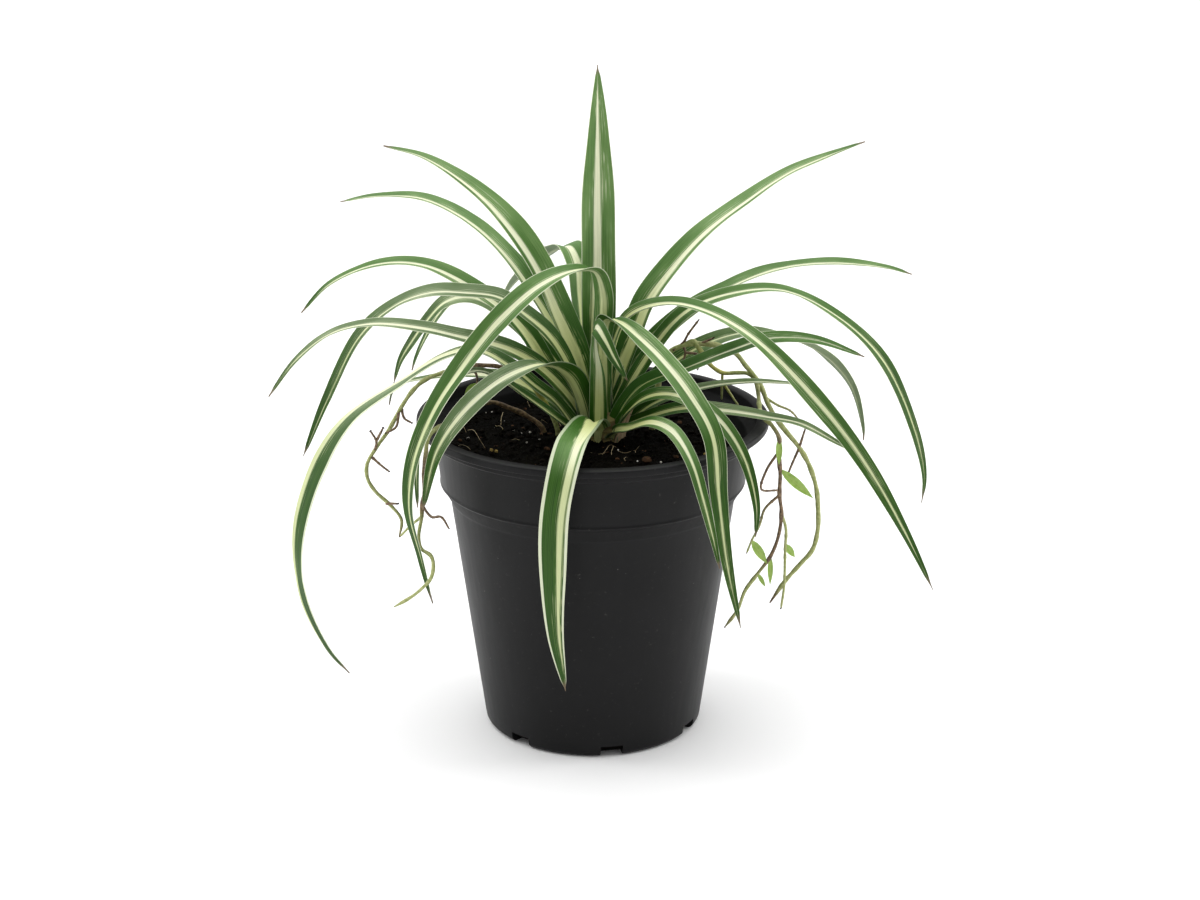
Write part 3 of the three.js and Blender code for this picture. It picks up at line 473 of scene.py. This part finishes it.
def blade(name, leaf, materials, replaced, seed):
    """A thin keeled strap along the leaf's arch, a little uneven, with a pointed tip."""
    draw = random.Random(seed)
    heading = math.radians(leaf.heading)
    towards = np.array([math.cos(heading), math.sin(heading), 0])
    level = np.array([-math.sin(heading), math.cos(heading), 0])
    root = np.array([CROWN.x + leaf.root[0], CROWN.y + leaf.root[1], SOIL.level])
    arch = [root + out * towards + np.array([0, 0, up]) + sum(aside) * level
            for out, up, *aside in leaf.arch]
    centre, along = evenly(arch, ROW_STEP)
    share = along / along[-1]
    tangent = unit(np.gradient(centre, axis=0))
    phase, pitch = draw.uniform(0, 6), draw.uniform(15, 24)
    roll = np.interp(share, np.linspace(0, 1, len(leaf.roll)), leaf.roll)
    roll = roll + BLADE.wobble * np.sin(along / pitch + phase) * smoothstep(share, 0.25, 0.5)
    side = turned_about(np.tile(level, (len(centre), 1)), tangent, np.radians(roll))
    face = unit(np.cross(tangent, side))
    half = half_widths(share, along, leaf.width) * (1 + BLADE.uneven * np.sin(along / 7 + phase))
    half = half * (1 - BLADE.tip_pinch * smoothstep(share, 0.97, 1))
    clasp = np.exp(-along / CLASP.length)
    half = half + CLASP.widening * clasp
    keel = BLADE.root_keel + (BLADE.tip_keel - BLADE.root_keel) * share
    keel = np.radians(keel + CLASP.keel * clasp)
    thick = BLADE.thickness + (BLADE.tip_thickness - BLADE.thickness) * share
    thick = thick + (BLADE.root_thickness - BLADE.thickness) * np.exp(-along / BLADE.thins_over)

    u = np.linspace(-1, 1, COLUMNS + 1)
    softness = BLADE.fold_softness
    rib = leaf.foot_rib + (leaf.rib - leaf.foot_rib) * smoothstep(along, *leaf.shift)
    from_rib = u - rib[:, None]
    fold = (np.sqrt(from_rib ** 2 + softness ** 2) - softness) / (1 + np.abs(rib)[:, None] - 0.13)
    out = (half * np.cos(keel))[:, None] * u
    lift = (half * np.sin(keel))[:, None] * (fold - BLADE.edge_droop * np.abs(u) ** 5)
    ripple = np.sin(along / 5.5 + phase)[:, None] * np.sign(u) + np.sin(along / 8.3 + 2 * phase)[:, None]
    ripple = BLADE.ripple * ripple * np.abs(u) ** 3 * smoothstep(share, 0.2, 0.4)[:, None]
    lift = lift + ripple - BLADE.sink
    depth = thick[:, None] * (1 - 0.5 * u ** 2) + BLADE.rib * np.exp(-(from_rib / BLADE.rib_width) ** 2)
    upper = centre[:, None] + out[..., None] * side[:, None] + lift[..., None] * face[:, None]
    points, faces = strap(upper, upper - depth[..., None] * face[:, None])
    piece = add_piece(name, points, faces, materials, replaced, crease=60)
    if len(materials) > 1:
        kinds = np.zeros(len(faces), np.int32)
        kinds[-(len(centre) - 1) * COLUMNS:] = 1
        piece.data.polygons.foreach_set("material_index", kinds)

    add_uv(piece, "Blade", (u + 1) / 2, share[:, None])
    add_uv(piece, "Millimetres", out + 40 * draw.random(), along[:, None])
    stripe = leaf.foot_stripe + (1 - leaf.foot_stripe) * smoothstep(along, 25, 85)
    stripe = leaf.stripe * stripe * (1 - 0.35 * smoothstep(share, 0.5, 0.9))
    stripe = stripe * (1 - smoothstep(share, 0.88, 0.97))
    edge = np.maximum(leaf.low_margin - 1 - u, u - 1 + leaf.high_margin)
    # Painted shade: how steeply the blade hangs down, which deepens its colour.
    hanging_shade = smoothstep(-tangent[:, 2], 0.35, 0.95)
    values = {"from_rib": from_rib, "stripe_width": stripe[:, None], "edge": edge, "hanging_shade": hanging_shade[:, None]}
    for kind, across in values.items():
        add_values(piece, kind, np.tile(np.broadcast_to(across, out.shape).ravel(), 2))


def leaves():
    looks = {style: [leaf_material(f"leaf_{style}_{side}", *tones, side == "under")
                     for side in ("upper", "under")] for style, tones in LEAF_STYLES.items()}
    for number, (name, leaf) in enumerate(LEAVES.items()):
        blade(f"blade_{name}", leaf, looks[leaf.style], [f"leaf_{name}"], 100 + number)


# ---- crown ----

DRY_SHEATHS = [
    Leaf(-12, 5.5, (8, -7), [0, 0, 15], [(0, -5), (1, 4), (3, 11), (6, 18), (9, 23)]),
    Leaf(205, 5, (-8, -5), [0, 0, 15], [(0, -5), (1, 2), (4, 6), (7, 8)]),
    Leaf(60, 6, (5, 9), [0, 0, 15], [(0, -5), (1, 3), (4, 8), (7, 10)]),
    Leaf(140, 6, (-5, 8), [0, 0, 15], [(0, -5), (1, 3), (4, 7), (6, 9)]),
]


def crown():
    """The short stem under the leaves, ringed by old leaf scars, with dead sheaths round its foot."""
    made = Nodes("crown_stem")
    fibre = made.noise(260, 5)
    shown = made.step(fibre, rgb(120, 112, 58), rgb(88, 66, 42))
    material = made.surface(shown, 0.7, fibre, 0.0006)
    profile = [(0, -CROWN.foot), (CROWN.radius, -CROWN.foot), (CROWN.radius, 0),
               (CROWN.neck_radius, CROWN.neck_height), (0, CROWN.dome)]
    points, faces = spun(finely(rounded(profile, 1.6), 0.8), SIDES.crown)
    x, y, height = points.T
    scars = 0.025 * np.sin(height * 3.2) * smoothstep(height, -4, 0)
    uneven = 0.02 * np.sin(5 * np.arctan2(y, x) + 0.6 * height)
    points[:, :2] *= (1 + scars + uneven)[:, None]
    points += [CROWN.x, CROWN.y, SOIL.level]
    add_piece("crown_stem", points, faces, [material], ["crown"])
    dry = dry_material()
    for number, sheath in enumerate(DRY_SHEATHS):
        blade(f"dry_sheath_{number + 1}", sheath, [dry], (), 300 + number)


# ---- turned shapes ----

def rounded(profile, radius, steps=5):
    """The profile with each inner corner eased, by at most radius along both of its sides."""
    p = [np.array(q, float) for q in profile]
    out = [p[0]]
    for a, b, c in zip(p, p[1:], p[2:]):
        reach = min(radius, 0.45 * np.linalg.norm(a - b), 0.45 * np.linalg.norm(c - b))
        start, end = b + unit(a - b) * reach, b + unit(c - b) * reach
        for t in np.linspace(0, 1, steps):
            out.append((1 - t) ** 2 * start + 2 * t * (1 - t) * b + t ** 2 * end)
    return np.array(out + [p[-1]])


def finely(profile, step):
    """The profile with no stretch longer than step."""
    out = [profile[0]]
    for a, b in zip(profile, profile[1:]):
        count = max(1, math.ceil(np.linalg.norm(b - a) / step))
        out += [a + (b - a) * k / count for k in range(1, count + 1)]
    return np.array(out)


def spun(profile, sides):
    """A closed surface: the profile turned about Z, from the axis back to the axis."""
    angle = np.arange(sides) * 2 * math.pi / sides
    rings = profile[1:-1]
    points = np.stack([np.outer(rings[:, 0], np.cos(angle)), np.outer(rings[:, 0], np.sin(angle)),
                       np.repeat(rings[:, 1:], sides, 1)], -1).reshape(-1, 3)
    faces = ring_quads(len(rings), sides)
    first, last, top = len(points), len(points) + 1, (len(rings) - 1) * sides
    for k in range(sides):
        following = (k + 1) % sides
        faces += [[first, following, k], [last, top + k, top + following]]
    return np.vstack([points, [[0, 0, profile[0][1]], [0, 0, profile[-1][1]]]]), faces


# ---- pot ----

def inner_wall():
    """The pot's inner wall from its floor up to the collar."""
    wall = POT.wall
    return [(POT.base_radius - wall, POT.floor), (POT.body_top_radius - wall, BODY_TOP),
            (POT.collar_bottom_radius - wall, COLLAR_BOTTOM)]


def pot_material():
    """Satin charcoal plastic: fine mould grain, faint draw lines down the wall, dust and a few scuffs, with
    painted shade inside the pot and under the collar.
    """
    made = Nodes("pot_plastic")
    grain = made.noise(2600, 2)
    stretched = made.node("Mapping", {"Vector": made.place(), "Scale": (1, 1, 0.06)})[0]
    draw = made.noise(420, place=stretched)
    dust = made.ramp(made.noise(520, 5, 0.72), 0.6, 0.78, 0, 0.1)
    specks = made.ramp(made.cells(120), 0.01, 0.03, 0.3, 0)
    inside = made.attribute("inside")
    shown = made.step(made.noise(22), rgb(11, 11, 12), rgb(16, 16, 17))
    shown = made.mix(specks, made.mix(dust, shown, rgb(150, 146, 140)), rgb(176, 172, 164))
    # Painted shade: near black inside the pot, and fainter on the band under the collar.
    shown = made.mix(made.times(inside, 0.8), shown, rgb(4, 4, 4))
    rough = made.plus(made.ramp(draw, 0.3, 0.7, 0.44, 0.48), made.times(inside, 0.3))
    height = made.plus(made.times(grain, 0.5), made.times(draw, 0.4))
    return made.surface(shown, rough, height, 0.00003, 0.5, gloss=0.17)


def pot():
    height, rim, collar, bead = POT.height, POT.rim_radius, POT.collar_bottom_radius, POT.bead_radius
    lip_bottom = height - POT.lip_thickness
    outside = [
        (0, 0), (POT.base_radius - POT.foot_edge, 0), (POT.base_radius, POT.foot_edge),
        (POT.body_top_radius, BODY_TOP), (collar - 0.4, COLLAR_BOTTOM - 1.1),
        (collar + 0.55, COLLAR_BOTTOM - 0.3), (collar + 0.2, COLLAR_BOTTOM + 0.7),
        (POT.collar_top_radius, BEAD - POT.bead_slope), (bead, BEAD), (bead, lip_bottom),
        (rim, lip_bottom), (rim, height), (POT.lip_inner_radius, height),
    ]
    inside = [(POT.lip_inner_radius, BEAD + POT.bead_slope),
              (POT.collar_top_radius - POT.wall, BEAD - POT.bead_slope),
              *reversed(inner_wall()), (0, POT.floor)]
    points, faces = spun(finely(rounded([*outside, *inside], 0.7), 6), SIDES.pot)
    shell = add_piece("pot_shell", points, faces, [pot_material()], ["pot"])
    cut_slots(shell)
    shell.data.set_sharp_from_angle(angle=math.radians(32))
    x, y, height = np.array([vertex.co for vertex in shell.data.vertices]).T / MM
    wall_radius = np.interp(height, [z for _, z in outside], [radius for radius, _ in outside])
    within = np.hypot(x, y) < wall_radius - 0.6 * POT.wall
    # Painted shade: the inside attribute is 1 inside the wall above the floor and 0.42 on the band under
    # the collar.
    painted_shade_band = (height > BODY_TOP + 0.5) & (height < COLLAR_BOTTOM - 0.9)
    add_values(shell, "inside", np.where(within & (height > POT.floor), 1, 0.42 * painted_shade_band))


def cut_slots(shell):
    """Cuts the drain slots through the edge of the base."""
    sides = [(0, 1, 3, 2), (4, 6, 7, 5), (0, 4, 5, 1), (2, 3, 7, 6), (0, 2, 6, 4), (1, 5, 7, 3)]
    points, faces = [], []
    for k in range(DRAIN_SLOT.count):
        angle = math.radians(DRAIN_SLOT.first_angle + 360 / DRAIN_SLOT.count * k)
        faces += [[len(points) + corner for corner in side] for side in sides]
        for out, aside, up in product((-1, 1), repeat=3):
            x, y = POT.base_radius + out * DRAIN_SLOT.depth, aside * DRAIN_SLOT.width / 2
            points.append((x * math.cos(angle) - y * math.sin(angle),
                           x * math.sin(angle) + y * math.cos(angle), up * DRAIN_SLOT.height))
    cutter = placed("slots", new_mesh("slots", points, faces))
    cut = shell.modifiers.new("slots", "BOOLEAN")
    cut.operation, cut.solver, cut.object = "DIFFERENCE", "EXACT", cutter
    graph = bpy.context.evaluated_depsgraph_get()
    shell.data = bpy.data.meshes.new_from_object(shell.evaluated_get(graph))
    shell.modifiers.clear()
    bpy.data.objects.remove(cutter)


# ---- soil ----

RISE = (SOIL.level - COLLAR_BOTTOM) / (BEAD - POT.bead_slope - COLLAR_BOTTOM)  # up the collar
WALL_RADIUS = POT.collar_bottom_radius + (POT.collar_top_radius - POT.collar_bottom_radius) * RISE
SOIL_EDGE = WALL_RADIUS - POT.wall - SOIL.gap
CLEAR = Sizes(bits=12, fibres=15.5)  # how far loose things stay from the crown's axis


def soil_height(x, y):
    """Height of the soil at a place: the frame's broad waves, then clods, then grit."""
    inwards = 1 - min(1, math.hypot(x, y) / SOIL_EDGE) ** 4
    broad = math.sin(x / SOIL.broad_wave + 0.6) * math.cos(y / SOIL.broad_wave - 0.4)
    fine = math.sin((x - y / 2) / SOIL.fine_wave) * math.sin((x / 2 + y) / SOIL.fine_wave + 1)
    waves = SOIL.bump * (broad + fine) / 2 * inwards
    clods = noise.fractal(Vector((x, y, 3)) * 0.16, 0.7, 2.2, 4) * 1.3
    cracks = noise.turbulence(Vector((x, y, 9)) * 0.5, 3, True) * 0.9
    grit = noise.noise(Vector((x, y, 5)) * 1.9) * 0.45
    mound = SOIL.mound * math.exp(-((x - CROWN.x) ** 2 + (y - CROWN.y) ** 2) / SOIL.mound_width ** 2)
    return SOIL.level + waves + (clods + cracks + grit) * (0.3 + 0.7 * inwards) + mound - SOIL.sink


def soil_material():
    made = Nodes("soil")
    grains = made.noise(900, 6, 0.7)
    shown = made.step(made.noise(60, 4), rgb(8, 7, 5), rgb(14, 12, 8))
    shown = made.step(grains, shown, rgb(27, 22, 15), 0.56, 0.74)
    shown = made.step(grains, shown, rgb(112, 92, 66), 0.78, 0.84)
    height = made.plus(grains, made.times(made.cells(620), 0.8))
    return made.surface(shown, made.ramp(grains, 0.3, 0.7, 0.6, 0.95), height, 0.0009, gloss=0.03)


def soil():
    gap, level, rings = SOIL.gap, SOIL.level, 80
    profile = [(0, POT.floor + gap), *((radius - gap, height + gap) for radius, height in inner_wall()),
               *((SOIL_EDGE * (1 - k / rings), level) for k in range(rings + 1))]
    points, faces = spun(np.array(profile, float), SIDES.soil)
    for point in points:
        if abs(point[2] - level) < 1e-6:
            point[2] = soil_height(point[0], point[1])
    add_piece("soil_fill", points, faces, [soil_material()], ["soil"], crease=180)


def pebble_shape():
    """Corners and triangles of a small faceted ball."""
    golden = (1 + math.sqrt(5)) / 2
    corners = unit(np.array([corner for a in (-1, 1) for b in (-golden, golden)
                             for corner in ((0, a, b), (a, b, 0), (b, 0, a))], float))
    near = [three for three in combinations(range(12), 3)
            if all(np.linalg.norm(corners[p] - corners[q]) < 1.1 for p, q in combinations(three, 2))]
    middles, split = {}, []

    def middle(a, b):
        return middles.setdefault((min(a, b), max(a, b)), len(corners) + len(middles))
    for i, j, k in near:
        out = np.dot(np.cross(corners[j] - corners[i], corners[k] - corners[i]), corners[i]) > 0
        a, b, c = (i, j, k) if out else (i, k, j)
        ab, bc, ca = middle(a, b), middle(b, c), middle(c, a)
        split += [(a, ab, ca), (b, bc, ab), (c, ca, bc), (ab, bc, ca)]
    return np.vstack([corners, [unit(corners[a] + corners[b]) for a, b in middles]]), np.array(split)


BALL, BALL_FACES = pebble_shape()


def add_bits(name, bits, material, crease=40):
    """One piece of many small balls, from the points of each."""
    faces = [BALL_FACES + number * len(BALL) for number in range(len(bits))]
    add_piece(name, np.vstack(bits), np.vstack(faces), [material], crease=crease)


def on_soil(draw, least):
    """A random place on the soil, clear of the wall and at least so far from the crown's axis."""
    while True:
        radius, angle = (SOIL_EDGE - 1.5) * math.sqrt(draw.random()), draw.uniform(0, 2 * math.pi)
        x, y = radius * math.cos(angle), radius * math.sin(angle)
        if math.hypot(x - CROWN.x, y - CROWN.y) > least:
            return x, y


def crumbs(name, count, sizes, flatness, sunk, seed, material, spots=()):
    """Loose bits on the soil: rough pebbles of random size, turn and place, in one piece."""
    draw, bits = random.Random(seed), []
    places = [*spots, *[(*on_soil(draw, CLEAR.bits), None) for _ in range(count)]]
    for number, (x, y, size) in enumerate(places):
        size = size or sizes[0] + (sizes[1] - sizes[0]) * draw.random() ** 2.5
        turn = Matrix.Rotation(draw.uniform(0, 6.3), 3, "Z")
        turn = turn @ Matrix.Rotation(draw.uniform(-0.7, 0.7), 3, "X")
        spread = np.array([1, draw.uniform(0.5, 0.9), draw.uniform(*flatness)]) * size / 2
        rough = [noise.noise(Vector(p) * 1.7 + Vector((number * 3.1, 0, 0))) for p in BALL]
        own = (BALL * (1 + 0.32 * np.array(rough))[:, None] * spread) @ np.array(turn).T
        bits.append(own + [x, y, soil_height(x, y) + spread[2] * (1 - sunk)])
    add_bits(name, bits, material, 35)


def bit_material(name, first, second, scale, rough, bump):
    made = Nodes(name)
    mottle = made.noise(scale, 5)
    each = made.ramp(made.noise(90, 0), 0.4, 0.6, 0, 0.35)
    shown = made.mix(each, made.step(mottle, first, second), rgb(30, 22, 17))
    return made.surface(shown, rough, mottle, bump, gloss=0.06)


def fibres(material):
    """Pale root fibres on the soil, the first of them where the photograph shows them."""
    draw = random.Random(41)
    routes = [
        [(-50.5, 13.8, 0.6), (-48.4, 11.5, 1.2), (-45, 1, 1), (-42.1, -11.5, 0.4)],
        [(-37.2, 37.6, 0.5), (-37.6, 29, 1.1), (-37.4, 20.3, 0.4)],
        [(-27.5, 52, 0.6), (-26.2, 44.4, 0.8)],
        [(-55, 20, 0.8), (-52.5, 16, 1.1), (-51, 11, 0.3)],
    ]
    for _ in range(26):
        x, y = on_soil(draw, CLEAR.fibres)
        turn, length = draw.uniform(0, 6.3), draw.uniform(2, 6.5)
        route = [(x, y, -0.4)]
        for _ in range(3):
            turn += draw.uniform(-0.7, 0.7)
            x, y = x + length / 2 * math.cos(turn), y + length / 2 * math.sin(turn)
            route.append((x, y, draw.uniform(0.1, 0.9)))
        if math.hypot(x, y) < SOIL_EDGE - 2:
            routes.append(route)
    points, faces = [], []
    for route in routes:
        line = [(x, y, soil_height(x, y) + rise) for x, y, rise in route]
        add_tube(points, faces, line, lambda share: 0.11 * (1 - 0.5 * share), 0.9, SIDES.fibre)
    add_piece("root_fibres", points, faces, [material])


def soil_bits():
    crumbs("soil_crumbs", 1500, (0.5, 2.6), (0.5, 0.9), 0.55, 11,
           bit_material("crumb", rgb(7, 6, 4), rgb(17, 14, 9), 900, 0.9, 0.0004))
    crumbs("bark_bits", 44, (0.9, 3), (0.22, 0.5), 0.3, 12,
           bit_material("bark", rgb(92, 66, 46), rgb(54, 38, 27), 500, 0.85, 0.0005),
           [(21.2, -26.1, 4.2), (32.6, -20, 2.6), (53, 22, 2.8), (-54.5, 22, 2.6), (-18, -12.7, 3.2)])
    crumbs("perlite_bits", 30, (0.5, 1.4), (0.6, 0.95), 0.3, 13,
           bit_material("perlite", rgb(224, 222, 214), rgb(196, 190, 180), 700, 0.8, 0.0003),
           [(10, -10.2, 1.5), (26.6, -26.1, 1.2), (34.5, 16.4, 1.2), (56.2, 4.8, 1.6), (-49.9, 3.5, 1.6),
            (-25.4, 13.8, 1.3), (-41.7, 37.6, 1.2)])
    crumbs("pale_pebbles", 3, (1.6, 2.4), (0.6, 0.8), 0.3, 14,
           bit_material("pebble", rgb(190, 164, 96), rgb(158, 130, 76), 400, 0.7, 0.0003),
           [(-39.8, -15.2, 2.2), (-37.9, -15, 1.9)])
    fibres(bit_material("fibre", rgb(204, 188, 154), rgb(160, 138, 104), 300, 0.7, 0.0002))


# ---- trailing stems ----

def add_tube(points, faces, route, radius_at, step, sides):
    """Adds a closed tube along a curve to the points and faces, and gives the number of its rings."""
    centre, along = evenly(route, step)
    tangent = unit(np.gradient(centre, axis=0))
    normal = unit(np.cross(tangent[0], (0, 0, 1) if abs(tangent[0][2]) < 0.8 else (1, 0, 0)))
    angle = np.arange(sides) * 2 * math.pi / sides
    first, last = len(points), len(points) + (len(centre) - 1) * sides
    faces += [[first + corner for corner in quad] for quad in ring_quads(len(centre), sides)]
    faces += [list(range(first, first + sides))[::-1], list(range(last, last + sides))]
    for place, way, far in zip(centre, tangent, along):
        normal = normal - way * np.dot(normal, way)
        normal = normal / np.linalg.norm(normal)
        other = np.cross(way, normal)
        points += list(place + radius_at(far / along[-1])
                       * (np.outer(np.cos(angle), normal) + np.outer(np.sin(angle), other)))
    return len(centre)


def stem_material():
    """Thin bark, brown on the old wood and olive on the young, with fine lengthwise wrinkles."""
    made = Nodes("stem_bark")
    young, wrinkle = made.attribute("young"), made.noise(900, 4)
    green = made.ramp(made.plus(young, made.times(made.noise(45, 2), 0.5)), 0.5, 1)
    brown = made.step(wrinkle, rgb(134, 110, 80), rgb(86, 66, 48))
    olive = made.step(wrinkle, rgb(174, 178, 120), rgb(144, 154, 88))
    olive = made.step(young, olive, rgb(178, 174, 84), 1, 1.25)
    return made.surface(made.mix(green, brown, olive), 0.55, wrinkle, 0.0003)


def stems():
    bark, leaflet_green = stem_material(), leaflet_material()
    for name, stem in STEMS.items():
        draw = random.Random(name)
        branches = stem.branches + [(TWIG_RADII, route) for route in stem.twigs]
        points, faces, young = [], [], []
        for number, ((first, last), route) in enumerate(branches):
            knots = [draw.random() for _ in range(max(2, len(route)))]
            swell, step = (0.3, 0.7) if number else (0.22, 1)

            def radius_at(share):
                knot = max(math.exp(-((share - k) / 0.012) ** 2) for k in knots)
                ragged = 0.05 * math.sin(share * 140 + number) + swell * knot
                return (first + (last - first) * share) * (1 + ragged) * min(1, 0.35 + (1 - share) * 25)
            rings = add_tube(points, faces, route, radius_at, step, SIDES.stem)
            greens = stem.green.get(number, [0])
            shares = np.repeat(np.linspace(0, 1, rings), SIDES.stem)
            young += list(np.interp(shares, np.linspace(0, 1, len(greens)), greens))
        piece = add_piece(name.replace("stem", "branches"), points, faces, [bark], [name])
        add_values(piece, "young", young)
        buds(name, branches[1:], draw)
        for number, leaflet in enumerate(stem.leaflets):
            add_leaflet(f"{name.replace('stem', 'leaflet')}_{number + 1}", *leaflet, leaflet_green)


def buds(name, twigs, draw):
    """Small dry buds at the ends and joints of the twigs."""
    bits = []
    for _, route in twigs:
        for end in (route[-1], route[len(route) // 2]):
            size = np.array([0.36, 0.36, 0.75]) * draw.uniform(0.6, 0.95)
            turn = Matrix.Rotation(draw.uniform(-1, 1), 3, "X")
            turn = turn @ Matrix.Rotation(draw.uniform(-1, 1), 3, "Y")
            bits.append((BALL * size) @ np.array(turn).T + end)
    material = bit_material(f"{name}_bud", rgb(70, 50, 42), rgb(44, 32, 30), 900, 0.8, 0.0003)
    add_bits(name.replace("stem", "buds"), bits, material)


def leaflet_material():
    made = Nodes("leaflet")
    across, _ = made.uv("Blade")
    mottle = made.noise(500, 4)
    shown = made.step(mottle, rgb(146, 180, 78), rgb(168, 198, 102))
    rib = made.size(made.minus(across, 0.5))
    shown = made.mix(made.ramp(rib, 0.02, 0.06, 0.6, 0), shown, rgb(182, 196, 110))
    return made.surface(shown, 0.5, mottle, 0.0002)


LEAFLET = Sizes(thickness=0.3, cup=0.18, sag=0.06)  # cup and sag are shares of its width
LEAFLET_OUTLINE = np.array([(0, 0.12), (0.08, 0.4), (0.2, 0.78), (0.35, 0.97), (0.5, 1), (0.65, 0.85),
                            (0.8, 0.56), (0.92, 0.24), (1, 0.04)])  # share of its length, of its width


def add_leaflet(name, foot, tip, width, material):
    """A small pointed leaf, cupped about its midrib, that faces the viewer as the frame's do."""
    u = np.linspace(-1, 1, 9)
    foot, way = np.array(foot, float), np.array(tip, float) - np.array(foot, float)
    side = unit(np.cross([0, -1, 0.3], way))
    face = unit(np.cross(way, side))
    upper = np.array([[foot + way * share + side * v * spread * width / 2
                       + face * (LEAFLET.cup * width * abs(v) ** 1.5 * spread
                                 - LEAFLET.sag * width * math.sin(3 * share))
                       for v in u] for share, spread in LEAFLET_OUTLINE])
    points, faces = strap(upper, upper - face * LEAFLET.thickness)
    piece = add_piece(name, points, faces, [material], crease=60)
    add_uv(piece, "Blade", (u + 1) / 2, LEAFLET_OUTLINE[:, :1])


# ---- floor, lights, camera ----

IMAGE_WIDTH_PX = 1200
FOCAL_PX = 2503
SENSOR_MM = 36
CAMERA = Sizes(distance=1000, elevation=18.7, target=(2.9, 0, 114))


def camera():
    data = bpy.data.cameras.new("camera")
    data.sensor_width = SENSOR_MM
    data.lens = FOCAL_PX / IMAGE_WIDTH_PX * SENSOR_MM
    seen_from = placed("camera", data)
    tilt = math.radians(CAMERA.elevation)
    back = Vector((0, -math.cos(tilt), math.sin(tilt)))
    seen_from.location = (Vector(CAMERA.target) + back * CAMERA.distance) * MM
    seen_from.rotation_euler = (math.pi / 2 - tilt, 0, 0)
    SCENE.camera = seen_from


def light(name, kind, power, towards, **settings):
    """A light that shines from a direction."""
    data = bpy.data.lights.new(name, kind)
    data.energy = power
    for key, value in settings.items():
        setattr(data, key, value)
    lamp = placed(name, data)
    lamp.rotation_euler = Vector(towards).to_track_quat("Z", "Y").to_euler()
    return lamp


def studio():
    """A pale floor, even light from a wide patch of sky overhead, and a soft strip at either side."""
    made = Nodes("floor_white")
    shown = made.step(made.noise(3, 2), (0.94, 0.94, 0.94, 1), (0.96, 0.96, 0.96, 1), 0.3, 0.7)
    reach = 6000
    corners = [(-reach, -reach, 0), (reach, -reach, 0), (reach, reach, 0), (-reach, reach, 0)]
    mesh = new_mesh("floor", corners, [(0, 1, 2, 3)])
    mesh.materials.append(made.surface(shown, 0.9))
    floor = placed("floor", mesh)
    floor.location = (0, 0, -0.0002)
    SCENE.world = studio_world()
    SCENE.view_settings.view_transform = "Standard"
    light("overhead", "SUN", 2.2, (-0.08, 0.2, 1), angle=math.radians(90))
    aim = Vector((0, 0, 0.12))
    for name, x, z in (("left_strip", -1.1, 0.5), ("right_strip", 1.1, 0.45)):
        place = Vector((x, 0.15, z))
        light(name, "AREA", 5, place - aim, shape="RECTANGLE", size=0.4, size_y=1).location = place


def studio_world():
    """Soft light from all round, a little less from the viewer's side, and white behind everything."""
    made = Nodes("studio", bpy.data.worlds)
    depth = made.node("SeparateXYZ", {"Vector": made.node("TexCoord")["Generated"]})["Y"]
    level = made.ramp(depth, -1, 0.4, 0.45, 0.7, "LINEAR")
    seen = made.node("LightPath")["Is Camera Ray"]
    sky = made.tree.nodes["Background"].inputs
    made.feed(sky["Strength"], made.math("MAXIMUM", level, seen))
    sky["Color"].default_value = (1, 1, 1, 1)
    return made.owner


leaves()
crown()
pot()
soil()
soil_bits()
stems()
camera()
studio()
